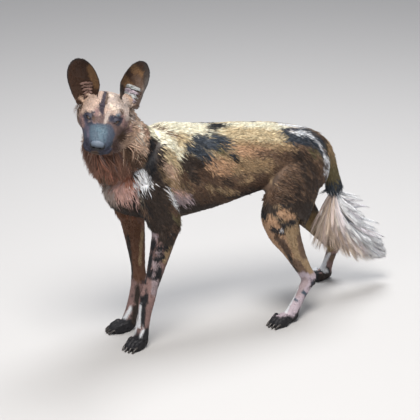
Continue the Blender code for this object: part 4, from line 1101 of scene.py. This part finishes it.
def store_colour(mesh, colour):
    """Keeps the coat's colour on the points of a mesh."""
    layer = mesh.color_attributes.new("Coat", "FLOAT_COLOR", "POINT")
    rgba = np.ones((len(colour), 4), np.float32)
    rgba[:, :3] = np.clip(colour, 0, 1)
    layer.data.foreach_set("color", rgba.ravel())


# How steeply the hair falls along the torso: places in X, then the falls there.
FALL = ((-0.05, 0.05, 0.20, 0.35, 0.48, 0.58, 0.66), (2.2, 1.5, 1.1, 0.6, 0.45, 1.2, 2.4))
LIE = {"neck": (0.72, 0.30, -0.95), "fore": (0.18, 0.0, -1.0), "hind": (0.18, 0.0, -1.0),
       "tail": (0.35, 0.0, -0.94)}


def tangent(ways, normals):
    """The ways laid flat on the surface."""
    return unit(ways - normals * dot(ways, normals)[:, None])


def lie_of(points, part):
    """The way the hair lies at each point."""
    count = len(points)
    none, one = np.zeros(count), np.ones(count)
    fall = np.interp(points[:, 0], *FALL)
    fall = fall + 1.2 * between(-points[:, 2], -0.50, -0.42) * between(points[:, 0], 0.46, 0.54)
    way = np.stack([one, none, -fall], axis=1)
    for name, lie in LIE.items():
        way[part == name] = lie
    spot = in_head(points)
    rise = np.clip(0.25 + 8.0 * spot[:, 2], -0.9, 0.6)
    head = part == "head"
    way[head] = np.stack([18 * spot[:, 0], -one, rise], axis=1)[head] @ np.array(PLACE.to_3x3().transposed())
    for side in (LEFT, RIGHT):
        mine = (part == "ear") & (spot[:, 0] * side > 0)
        turn = np.array(ear_matrix(side).to_3x3())
        out = np.stack([10 * in_ear(points, side)[:, 0], none, one], axis=1)
        way[mine] = out[mine] @ turn.T
    return way


def jitter(coat, ways, normals, amount):
    """The ways, each turned a little at random."""
    side = np.cross(ways, normals)
    return unit(ways + side * coat.draw.normal(0, amount, len(ways))[:, None])


SWIRL = Ripples(51, 0.045)
SWIRL_FINE = Ripples(52, 0.014)
STREAK = Ripples(62, 1.5)


def streaks(root, lie, side):
    """Noise that is fine across the hair and long with it."""
    spread = np.stack([dot(root, side) / 0.0045, dot(root, lie) / 0.035, np.zeros(len(root))], axis=1)
    return STREAK(spread)[:, None]


def shaded(coat, colour, spread, tone=0.0, dark=0.62):
    """Root and tip colours with the small differences between tufts; the roots are painted darker and the
    tips a little lighter, as painted shade down among the hairs.
    """
    lift = np.exp(coat.draw.normal(0, spread, (len(colour), 1)) + tone)
    warm = 1 + coat.draw.normal(0, 0.03, (len(colour), 1)) * np.array([[1.0, 0.0, -1.0]])
    own = colour * lift * warm
    # Painted shade at the roots: their colour is darkened by the dark factor; the tips are lightened a
    # little.
    return own * dark, np.clip(own * 1.10 + 0.002, 0, 0.92)


def clumped(coat, root, paths, share, size, pull):
    """Draws the tips of neighbouring tufts together, about `size` of them to a point."""
    count = len(root)
    leads = coat.draw.choice(count, max(1, count // size), replace=False)
    tree = KDTree(len(leads))
    for k, lead in enumerate(leads):
        tree.insert(root[lead], int(lead))
    tree.balance()
    near = np.array([tree.find(spot)[1] for spot in root])
    return paths + (paths[near] - paths) * (pull * share ** 1.4)[None, :, None]


def short_coat(coat, name, slot, count, chosen, length, width, rise, chart,
               density=None, rings=3, sink=0.0012):
    """Tufts that lie along the body over one region."""
    root, normal = coat.roots(count, chosen, density)
    part = parts_of(root)
    lie = tangent(lie_of(root, part), normal)
    swirl = 0.14 * SWIRL(root) + 0.10 * SWIRL_FINE(root)
    lie = jitter(coat, unit(lie + np.cross(lie, normal) * swirl[:, None]), normal, 0.11)
    side = np.cross(lie, normal)
    long = length(root, normal) * coat.draw.uniform(0.7, 1.25, count)
    wide = width * coat.draw.uniform(0.75, 1.25, count)
    share = np.arange(rings + 1) / rings
    lift = rise * (1.5 * share - 0.62 * share ** 2)
    height = long[:, None] * lift[None, :] * coat.draw.uniform(0.6, 1.4, (count, 1)) - sink * (1 - share) ** 2
    curl = coat.draw.normal(0, 0.10, (count, 1)) * long[:, None] * share[None, :] ** 2
    paths = (root[:, None, :] + lie[:, None, :] * (long[:, None] * share[None, :])[:, :, None]
             + normal[:, None, :] * height[:, :, None] + side[:, None, :] * curl[:, :, None])
    paths = clumped(coat, root, paths, share, 7, 0.35)
    outs = np.repeat(normal[:, None, :], rings + 1, axis=1)
    aim = root + lie * long[:, None] * coat.draw.uniform(-0.4, 1.2, (count, 1))
    colour = paint(aim, normal, part, coat.surface)
    low, high = shaded(coat, colour, 0.13, 0.10 * streaks(root, lie, side))
    dress(tuft_mesh(name, paths, outs, wide, low, high, chart(root, normal)), slot)


def dress(thing, slot, replaced=()):
    """Declares a coat piece under its own name, with the hair finish of its slot."""
    declare(thing, thing.name, replaced)
    thing.data.materials.append(coat_finish(f"{slot}_finish"))


def inset(chart):
    """A chart from 0 to 1 with a small margin all round."""
    return np.clip(chart, 0, 1) * 0.98 + 0.01


def turn_of(normals):
    """The way a surface faces, seen from above, from 0 to 1."""
    return np.arctan2(normals[:, 1], normals[:, 0]) / (2 * math.pi) + 0.5


def trunk_chart(points, normals):
    """An unwrap round the trunk: place along it, then turn about its middle line."""
    u = (points[:, 0] + 0.08) / 0.80
    v = np.arctan2(points[:, 1], points[:, 2] - 0.5) / (2 * math.pi) + 0.5
    return inset(np.stack([u, v], axis=1))


def leg_chart(points, normals):
    """An unwrap of a pair of legs: each has half the width, height runs up."""
    u = turn_of(normals) * 0.48 + np.where(points[:, 1] > 0, 0.51, 0.01)
    return np.stack([u, inset(points[:, 2] / 0.42)], axis=1)


def head_chart(points, normals):
    """An unwrap of the head as a globe whose poles are its crown and its throat."""
    spot = unit(in_head(points) - np.array((0, -0.02, -0.02)))
    u = np.arctan2(spot[:, 0], spot[:, 1]) / (2 * math.pi) + 0.5
    return inset(np.stack([u, np.arccos(np.clip(spot[:, 2], -1, 1)) / math.pi], axis=1))


def ear_chart(points, normals):
    """Each ear has its back and its front beside each other."""
    out = np.zeros((len(points), 2))
    for k, side in enumerate((LEFT, RIGHT)):
        mine = on_side(points, side)
        local = in_ear(points, side)
        front = dot(normals, ear_front(side)) > 0
        u = np.clip(local[:, 0] / 0.12 + 0.5, 0, 1) * 0.23 + 0.01 + 0.5 * k + 0.25 * front
        out[mine] = np.stack([u, inset(local[:, 2] / 0.15)], axis=1)[mine]
    return out


def height_chart(low, tall):
    """An unwrap by the way the surface faces and by height."""
    def chart(points, normals):
        return inset(np.stack([turn_of(normals), (points[:, 2] - low) / tall], axis=1))
    return chart


def torso_length(root, normal):
    """Longer on the chest, shorter on the belly and the thighs."""
    belly = between(-normal[:, 2], 0.3, 0.8)
    thigh = between(root[:, 0], 0.46, 0.56) * between(-root[:, 2], -0.54, -0.46)
    chest = between(-root[:, 0], -0.05, -0.01)
    return 0.021 - 0.005 * belly - 0.006 * thigh + 0.006 * chest


def tail_length(root, normal):
    """The same all along the tail above its brush."""
    return np.full(len(root), 0.022)


def leg_length(root, normal):
    """Shortest on the feet."""
    return 0.0055 + 0.0075 * between(root[:, 2], 0.12, 0.38)


def head_length(root, normal):
    """Shortest on the muzzle, longest on the cheeks."""
    spot = in_head(root)
    muzzle = between(spot[:, 1], -0.01, 0.03)
    cheek = between(-spot[:, 1], 0.015, 0.060) * between(-spot[:, 2], 0.004, 0.026)
    return 0.0076 - 0.0040 * muzzle + 0.020 * cheek * between(np.abs(spot[:, 0]), 0.030, 0.055)


def ear_length(root, normal):
    """Short, and shorter still near the rim."""
    long = np.zeros(len(root))
    for side in (LEFT, RIGHT):
        _, edge, _ = ear_place(root, side)
        long = np.where(on_side(root, side), 0.0028 + 0.0045 * between(-edge, -0.98, -0.75), long)
    return long


def from_leather(spot):
    """Distance from the middle of the nose's bare skin, which ends at 1."""
    return np.linalg.norm((spot - np.array(LEATHER_CENTRE)) / np.array(LEATHER_RADII), axis=1)


def face_growth(points):
    """0 on the nose and the lids, 1 on the rest of the head, more on the muzzle."""
    spot = in_head(points)
    grows = between(from_leather(spot), 1.0, 1.12)
    for side in (LEFT, RIGHT):
        away = np.linalg.norm(spot - np.array(eye_centre(side)), axis=1)
        grows *= between(away, 0.0142, 0.0165)
    return grows * (1 + 1.5 * between(spot[:, 1], -0.05, 0.0))


def coat_pieces(coat):
    """The short coat, region by region, then the long hair."""
    x, y, z = coat.middles.T
    torso = coat.part == "torso"
    for name, region in (("coat_left", torso & (y < 0) & (x < RUMP)),
                         ("coat_right", torso & (y >= 0) & (x < RUMP)),
                         ("coat_rear", torso & (x >= RUMP))):
        short_coat(coat, name, "body_coat", 11800, region, torso_length, 0.0013, 0.12, trunk_chart)
    for name, key in (("coat_forelegs", "fore"), ("coat_hindlegs", "hind")):
        short_coat(coat, name, "leg_coat", 12700, coat.part == key, leg_length, 0.0010, 0.12, leg_chart,
                   density=between(z, 0.002, 0.006), rings=2, sink=0.0006)
    short_coat(coat, "coat_face", "face_coat", 18500, coat.part == "head", head_length, 0.0009, 0.15,
               head_chart, density=face_growth(coat.middles), rings=2, sink=0.0005)
    short_coat(coat, "coat_ears", "ear_coat", 7800, coat.part == "ear", ear_length, 0.0008, 0.08, ear_chart,
               rings=2, sink=0.0004)
    short_coat(coat, "coat_tail", "tail_coat", 3000, (coat.part == "tail") & (z > 0.35), tail_length, 0.0014,
               0.16, height_chart(0.05, 0.55))
    ear_tufts(coat)
    ruff(coat)
    brush(coat)


def ruff(coat):
    """Long shaggy locks of the neck, the throat and the jowls, laid along the skin."""
    count, rings = 7400, 4
    spot = in_head(coat.middles)
    cheek = (spot[:, 1] < -0.056) & (spot[:, 2] < 0.004) & (np.abs(spot[:, 0]) > 0.040)
    root, normal = coat.roots(count, (coat.part == "neck") | (coat.part == "head") & cheek)
    throat = between(-normal[:, 0] - 0.5 * normal[:, 1], -0.1, 0.7)
    way = tangent(lie_of(root, np.full(count, "neck")), normal)
    swirl = 0.25 * SWIRL(root) + 0.25 * SWIRL_FINE(root)
    way = jitter(coat, unit(way + np.cross(way, normal) * swirl[:, None]), normal, 0.14)
    long = (0.030 + 0.034 * throat) * coat.draw.uniform(0.75, 1.2, count)
    spot = in_head(root)
    jowl = between(spot[:, 1], -0.140, -0.100) * (spot[:, 2] < 0.01)
    flare = between(root[:, 1], 0.005, 0.030) * between(-root[:, 0], 0.02, 0.06)
    lift = (0.006 + 0.015 * throat + 0.006 * jowl + 0.011 * flare) * coat.draw.uniform(0.5, 1.25, count)
    paths, outs = laid_along(coat.surface, root, normal, way, long, lift, rings)
    share = np.arange(rings + 1) / rings
    paths = clumped(coat, root, paths, share, 12, 0.75)
    aim = root + way * (coat.draw.uniform(-0.2, 0.7, count) * long)[:, None]
    colour = paint(aim, normal, parts_of(root), coat.surface)
    low, high = shaded(coat, colour, 0.18, 0.16 * streaks(root, way, np.cross(way, normal)))
    wide = 0.0014 * coat.draw.uniform(0.7, 1.3, count)
    chart = height_chart(0.42, 0.42)(root, normal)
    dress(tuft_mesh("coat_ruff", paths, outs, wide, low, high, chart), "ruff_coat")


def laid_along(surface, root, normal, way, long, lift, rings):
    """Paths of locks that follow the skin step by step and rise from it."""
    paths = np.empty((len(root), rings + 1, 3))
    outs = np.empty_like(paths)
    for i in range(len(root)):
        spot, up, lie = Vector(root[i]), Vector(normal[i]), Vector(way[i])
        paths[i, 0] = spot - up * 0.002
        outs[i, 0] = up
        for k in range(1, rings + 1):
            step = (lie - up * lie.dot(up)).normalized() * long[i] / rings
            spot, up, _, _ = surface.find_nearest(spot + step)
            paths[i, k] = spot + up * (0.0008 + lift[i] * (k / rings))
            outs[i, k] = up
    return paths, outs


def brush(coat):
    """The tail's long hair: clumps that leave its core all round and sweep back to points."""
    clumps, strands, rings = 380, 18, 5
    count = clumps * strands
    rows = smooth_rows(BRUSH, 20)
    spacing = np.linalg.norm(np.diff(rows[:, :3], axis=0), axis=1)
    arc = np.concatenate([[0.0], np.cumsum(spacing)])
    first_root, whole = arc[8], arc[-1]
    draw = coat.draw
    lead = first_root + (whole * 0.88 - first_root) * draw.random(clumps) ** 0.85
    turn = draw.uniform(0, 2 * math.pi, clumps)
    turn = np.where(draw.random(clumps) < 0.26, draw.normal(math.pi / 2, 0.5, clumps), turn)
    depth = draw.uniform(0.12, 1.08, clumps) ** 0.55
    long = np.minimum(draw.uniform(0.080, 0.130, clumps), (whole - lead) * draw.uniform(0.85, 1.14, clumps))
    share = np.arange(rings + 1) / rings
    apart = (1 - 0.94 * share ** 1.2)[None, :]

    def each(values, scatter):
        """One value a strand, its own at the root and the clump's at the tip."""
        return np.repeat(values, strands)[:, None] + draw.normal(0, scatter, (count, 1)) * apart

    def column(values, at):
        """Values along the brush, carried on past its end."""
        slope = (values[-1] - values[-4]) / (whole - arc[-4])
        return np.interp(at, arc, values) + np.maximum(at - whole, 0) * slope

    start = np.repeat(lead, strands) + draw.normal(0, 0.007, count)
    start = np.maximum(start, first_root - 0.004)
    end = np.repeat(lead + long, strands) + draw.normal(0, 0.004, count)
    dark = start - first_root < 0.012
    end = np.where(dark, start + draw.uniform(0.018, 0.034, count), end)
    where = start[:, None] + (end - start)[:, None] * share[None, :]
    around = each(turn, 0.20)
    reach = each(depth, 0.07)
    middle = np.stack([column(rows[:, i], where) for i in range(3)], axis=2)
    onward = unit(np.stack([column(rows[:, i], where + 0.01) for i in range(3)], axis=2) - middle)
    across = unit(np.cross(onward, np.array((-1.0, 0, 0))))
    half, deep = np.interp(where, arc, rows[:, 3]), np.interp(where, arc, rows[:, 4])
    out = (across * (np.cos(around) * half)[:, :, None]
           + np.cross(across, onward) * (np.sin(around) * deep)[:, :, None])
    front = np.clip(-unit(out + 1e-6)[:, :, 0], 0, 1)
    along = where / whole
    out = out * (1 + 0.50 * front * between(along, 0.04, 0.14) * between(-along, -0.62, -0.38))[:, :, None]
    rise = 0.12 + (reach - 0.12) * share[None, :] ** 0.62
    thinning = np.clip(1.0 - 0.5 * np.maximum(where - whole, 0) / 0.02, 0.3, 1)
    bend = np.repeat(draw.normal(0, 0.0026, (clumps, 3)), strands, axis=0)
    bend = bend + draw.normal(0, 0.0010, (count, 3))
    curved = middle + out * (rise * thinning)[:, :, None]
    straight = curved[:, :1] + (curved[:, -1:] - curved[:, :1]) * share[None, :, None]
    paths = curved + 0.65 * (straight - curved) + bend[:, None, :] * share[None, :, None] ** 1.5
    paths[:, :, 2] = np.maximum(paths[:, :, 2], BRUSH_REST)
    # Beige on the brush's lower side: partly its own colour, partly painted shade underneath.
    lower = between(-dot(out[:, -1], np.array((0.35, 0.0, 0.94))) / 0.08, 0.1, 0.8)
    colour = blend_in(np.tile(PAINT["white"], (count, 1)), "beige", lower)
    mixed = np.repeat(draw.random(clumps), strands)
    colour = blend_in(colour, "lilac", 0.35 * (mixed > 0.75))
    colour = blend_in(colour, "night", 1.0 * dark)
    tone = np.repeat(draw.normal(0, 0.04, clumps), strands)[:, None]
    low, high = shaded(coat, colour, 0.05, tone, 0.95)
    chart = inset(np.stack([(np.repeat(turn, strands) / (2 * math.pi)) % 1.0, start / whole], axis=1))
    wide = 0.0013 * draw.uniform(0.7, 1.3, count)
    dress(tuft_mesh("coat_brush", paths, unit(out + 1e-5), wide, low, high, chart), "brush_coat",
          ("tail_brush",))


def ear_tufts(coat):
    """Long pale hair in rows inside each ear, rooted toward the crown."""
    count, rings = 420, 3
    share = np.arange(rings + 1) / rings
    draw = coat.draw
    paths, outs, colours = [], [], []
    for side in (LEFT, RIGHT):
        turn = np.array(ear_matrix(side).to_3x3())
        rows, lowest, step, scatter, roots = EAR_ROWS[side]
        row = draw.integers(0, rows, count)
        rise = lowest + step * row + draw.normal(0, scatter, count)
        begin = draw.uniform(*roots, count)
        reach = draw.uniform(0.26, 0.46, count)
        across = -side * (begin[:, None] - reach[:, None] * share[None, :])
        height = rise[:, None] + (0.035 * share - 0.05 * share ** 2)[None, :]
        skew, cup, bow = ear_sheet(side, height)
        lift = 0.0014 + 0.0050 * np.sin(math.pi * 0.75 * share)[None, :] * draw.uniform(0.5, 1.2, (count, 1))
        local = np.stack([across * ear_half(side, height) + skew, cup * across ** 2 - bow + lift,
                          height * EAR_HEIGHT[side]], axis=2)
        paths.append(local @ turn.T + np.array(ear_matrix(side).translation))
        outs.append(np.tile(turn[:, 1], (count, rings + 1, 1)))
        shade = np.where(((row % 2 == 0) & (side == LEFT))[:, None], PAINT["lilac"] * 0.8,
                         PAINT["down" if side == RIGHT else "tuft"])
        colours.append(shade * np.exp(draw.normal(0, 0.15, (count, 1))))
    paths, outs, colours = np.concatenate(paths), np.concatenate(outs), np.concatenate(colours)
    low, high = shaded(coat, colours, 0.10, dark=0.75)
    wide = 0.00075 * draw.uniform(0.7, 1.3, len(paths))
    chart = ear_chart(paths[:, 0], outs[:, 0])
    dress(tuft_mesh("coat_ear_tufts", paths, outs, wide, low, high, chart), "ear_coat")


class Socket:
    """A shader value that takes part in sums written as expressions."""

    def __init__(self, sheet, link):
        self.sheet, self.link = sheet, link

    def _with(self, operation, other, swap=False):
        values = (other, self) if swap else (self, other)
        return self.sheet.node("ShaderNodeMath", {"operation": operation}, {0: values[0], 1: values[1]})

    def __add__(self, other):
        return self._with("ADD", other)

    def __radd__(self, other):
        return self._with("ADD", other, True)

    def __sub__(self, other):
        return self._with("SUBTRACT", other)

    def __rsub__(self, other):
        return self._with("SUBTRACT", other, True)

    def __mul__(self, other):
        return self._with("MULTIPLY", other)

    def __rmul__(self, other):
        return self._with("MULTIPLY", other, True)


class Sheet:
    """A tree whose nodes are made one at a time by one method."""

    def __init__(self, tree):
        self.tree = tree

    def node(self, kind, settings=None, sockets=None, output=0):
        made = self.tree.nodes.new(kind)
        for key, value in (settings or {}).items():
            setattr(made, key, value)
        for key, value in (sockets or {}).items():
            self.put(made.inputs[key], value)
        return Socket(self, made.outputs[output])

    def put(self, socket, value):
        if isinstance(value, Socket):
            self.tree.links.new(value.link, socket)
        else:
            socket.default_value = value


class Finish(Sheet):
    """A material built round one Principled shader."""

    def __init__(self, name):
        self.material = bpy.data.materials.new(name)
        self.material.use_nodes = True
        super().__init__(self.material.node_tree)
        self.shader = self.tree.nodes["Principled BSDF"]

    def set(self, **values):
        for key, value in values.items():
            self.put(self.shader.inputs[key.replace("_", " ")], value)
        return self.material

    def coat_colour(self):
        return self.node("ShaderNodeAttribute", {"attribute_name": "Coat"})

    def grain(self, scale, detail):
        """Fine noise that is fixed to the piece."""
        place = self.node("ShaderNodeTexCoord", output=3)
        return self.node("ShaderNodeTexNoise", {}, {"Vector": place, "Scale": scale, "Detail": detail})


FINISHES = {}


def coat_finish(name):
    """Hair: its colour comes from the tuft, with fine streaks of gloss."""
    if name not in FINISHES:
        made = Finish(name)
        rough = 0.52 + 0.22 * made.grain(420.0, 2.0)
        FINISHES[name] = made.set(Base_Color=made.coat_colour(), Roughness=rough, Specular_IOR_Level=0.20)
    return FINISHES[name]


def skin_finish():
    """Skin: the coat's own colour, darker, with the bump of short hair."""
    made = Finish("skin_finish")
    hair = made.grain(900.0, 3.0)
    bump = made.node("ShaderNodeBump", {}, {"Strength": 0.35, "Distance": 0.0006, "Height": hair})
    return made.set(Base_Color=made.coat_colour(), Roughness=0.5 + 0.2 * hair, Normal=bump,
                    Specular_IOR_Level=0.35)


def eye_finish():
    """Eye: wet and clear over its own colours."""
    made = Finish("eye_finish")
    return made.set(Base_Color=made.coat_colour(), Roughness=0.04, Coat_Weight=1.0, Coat_Roughness=0.02)


def horn_finish():
    """Claws: dark horn with a faint grain."""
    made = Finish("horn_finish")
    grain = made.grain(300.0, 3.0)
    colour = made.node("ShaderNodeMix", {"data_type": "RGBA"},
                       {0: grain, 6: (0.012, 0.010, 0.009, 1), 7: (0.055, 0.045, 0.038, 1)}, 2)
    return made.set(Base_Color=colour, Roughness=0.30 + 0.15 * grain)


def eyes():
    """Each eyeball with its iris turned to the camera."""
    for side, tag in ((LEFT, "left"), (RIGHT, "right")):
        centre = PLACE @ eye_centre(side)
        thing = ball(f"eyeball_{tag}", centre, (EYE_RADIUS * 0.985,) * 3, segments=96, rings=64)
        gaze = unit(np.array(CAMERA_AT - centre))
        points = vectors_of(thing.data, "co")
        angle = np.degrees(np.arccos(np.clip(dot(unit(points - np.array(centre)), gaze), -1, 1)))
        streak = 1 + 0.25 * np.sin(37 * np.arctan2(points[:, 0], points[:, 2]) + 0.3 * angle)
        colour = np.where((angle < PUPIL_EDGE)[:, None], PAINT["pupil"], PAINT["iris"] * streak[:, None])
        store_colour(thing.data, blend_in(colour, "limbus", between(angle, *IRIS_EDGE)))
        thing.data.shade_smooth()
        thing.data.materials.append(eye_finish())
        declare(thing, f"eyeball_{tag}", (f"eye_{tag}",))


def claw_tree(material):
    """Geometry Nodes: a hooked claw, tapered to a point, on every point it is given."""
    tree = bpy.data.node_groups.new("claw_on_each_toe", "GeometryNodeTree")
    face = tree.interface
    face.new_socket("Geometry", in_out="INPUT", socket_type="NodeSocketGeometry")
    for name in ("Length", "Thickness", "Hook"):
        face.new_socket(name, in_out="INPUT", socket_type="NodeSocketFloat")
    face.new_socket("Geometry", in_out="OUTPUT", socket_type="NodeSocketGeometry")
    sheet = Sheet(tree)
    given = tree.nodes.new("NodeGroupInput").outputs
    length, thickness, hook = (Socket(sheet, given[name]) for name in ("Length", "Thickness", "Hook"))

    def place(x, z):
        return sheet.node("ShaderNodeCombineXYZ", {}, {"X": x, "Y": 0.0, "Z": z})

    curve = sheet.node("GeometryNodeCurveQuadraticBezier", {}, {
        "Resolution": 10, "Start": place(0.3 * length, 0.2 * hook),
        "Middle": place(-0.25 * length, 0.28 * hook), "End": place(-0.7 * length, -0.8 * hook)})
    along = sheet.node("GeometryNodeSplineParameter")
    taper = sheet.node("ShaderNodeMath", {"operation": "POWER"}, {0: 1.04 - along, 1: 0.7})
    curve = sheet.node("GeometryNodeSetCurveRadius", {}, {"Curve": curve, "Radius": taper})
    profile = sheet.node("GeometryNodeCurvePrimitiveCircle", {}, {"Resolution": 14, "Radius": thickness})
    claw = sheet.node("GeometryNodeCurveToMesh", {}, {"Curve": curve, "Profile Curve": profile,
                                                      "Fill Caps": True})
    turn = sheet.node("GeometryNodeInputNamedAttribute", {"data_type": "FLOAT_VECTOR"}, {"Name": "turn"})
    turn = sheet.node("FunctionNodeEulerToRotation", {}, {"Euler": turn})
    set_out = sheet.node("GeometryNodeInstanceOnPoints", {}, {
        "Points": Socket(sheet, given["Geometry"]), "Instance": claw, "Rotation": turn})
    joined = sheet.node("GeometryNodeRealizeInstances", {}, {"Geometry": set_out})
    joined = sheet.node("GeometryNodeSetMaterial", {}, {"Geometry": joined, "Material": material})
    sheet.put(tree.nodes.new("NodeGroupOutput").inputs["Geometry"], joined)
    return tree


def claws():
    """Four curved claws on each paw."""
    places = [(root, spread.to_euler()) for key in PAWS for _, spread, root in toes(key)]
    mesh = bpy.data.meshes.new("claws")
    mesh.from_pydata([tuple(root) for root, _ in places], [], [])
    turns = mesh.attributes.new("turn", "FLOAT_VECTOR", "POINT")
    turns.data.foreach_set("vector", [value for _, turn in places for value in turn])
    thing = new_object("claws", mesh)
    tree = claw_tree(horn_finish())
    grow = thing.modifiers.new("Claws", "NODES")
    grow.node_group = tree
    for item in tree.interface.items_tree:
        if item.in_out == "INPUT" and item.name in CLAW:
            grow[item.identifier] = CLAW[item.name]
    apply_modifiers(thing)
    move_points(thing.data, vectors_of(thing.data, "co"), CLAW_REST)
    thing.data.shade_smooth()
    declare(thing, "claws")


def skin_piece():
    """The one skin, painted like the coat, and the coat's plan on it."""
    skin = skin_mesh()
    coat = Coat(skin)
    points = coat.points
    colour = paint(points, coat.normals, parts_of(points), coat.surface) * SKIN_SHADE
    spot = in_head(points)
    nose = between(-from_leather(spot), -1.15, -1.05)[:, None]
    # Painted highlight: the upper part of the nose's bare skin is blended toward a lighter colour.
    lit = between(spot[:, 2], -0.0205, -0.0135)[:, None]
    leather = PAINT["leather"] * (1 - lit) + PAINT["nose_highlight"] * lit
    store_colour(skin.data, colour * (1 - nose) + leather * nose)
    skin.data.shade_smooth()
    skin.data.materials.clear()
    skin.data.materials.append(skin_finish())
    return skin, coat


def place_camera():
    """The camera that gives the photograph's view."""
    camera = bpy.data.cameras.new("camera")
    camera.sensor_width = 36.0
    camera.lens = FOCAL / FRAME_WIDTH * camera.sensor_width
    camera.clip_end = 50.0
    holder = new_object("camera", camera)
    holder.location = CAMERA_AT + SHIFT
    way = LOOK_AT - CAMERA_AT
    holder.rotation_euler = way.to_track_quat("-Z", "Y").to_euler()
    bpy.context.scene.camera = holder


def light(name, place, aim, size, power, tint):
    """A round soft lamp that points at a place."""
    lamp = bpy.data.lights.new(name, "AREA")
    lamp.shape = "DISK"
    lamp.size = size
    lamp.energy = power
    lamp.color = tint
    holder = new_object(name, lamp)
    holder.location = place
    holder.rotation_euler = (Vector(aim) - Vector(place)).to_track_quat("-Z", "Y").to_euler()


def studio():
    """A grey floor, a pale sky and three soft lamps."""
    bm = bmesh.new()
    bmesh.ops.create_grid(bm, x_segments=2, y_segments=2, size=14.0)
    floor = from_bmesh("floor", bm)
    floor.data.materials.append(Finish("floor_finish").set(Base_Color=(0.44, 0.43, 0.42, 1.0), Roughness=0.9))
    world = bpy.data.worlds.new("studio")
    world.use_nodes = True
    sky = world.node_tree.nodes["Background"].inputs
    sky["Color"].default_value = (0.86, 0.90, 1.0, 1.0)
    sky["Strength"].default_value = 0.40
    bpy.context.scene.world = world
    bpy.context.scene.view_settings.view_transform = "Standard"
    for lamp in LAMPS:
        light(*lamp)


def main():
    place_camera()
    studio()
    skin, coat = skin_piece()
    coat_pieces(coat)
    eyes()
    claws()
    declare(skin, "skin", ("torso", "neck", "head", "tail", "ear_left", "ear_right",
                                       "foreleg_left", "foreleg_right", "hindleg_left", "hindleg_right"))


main()
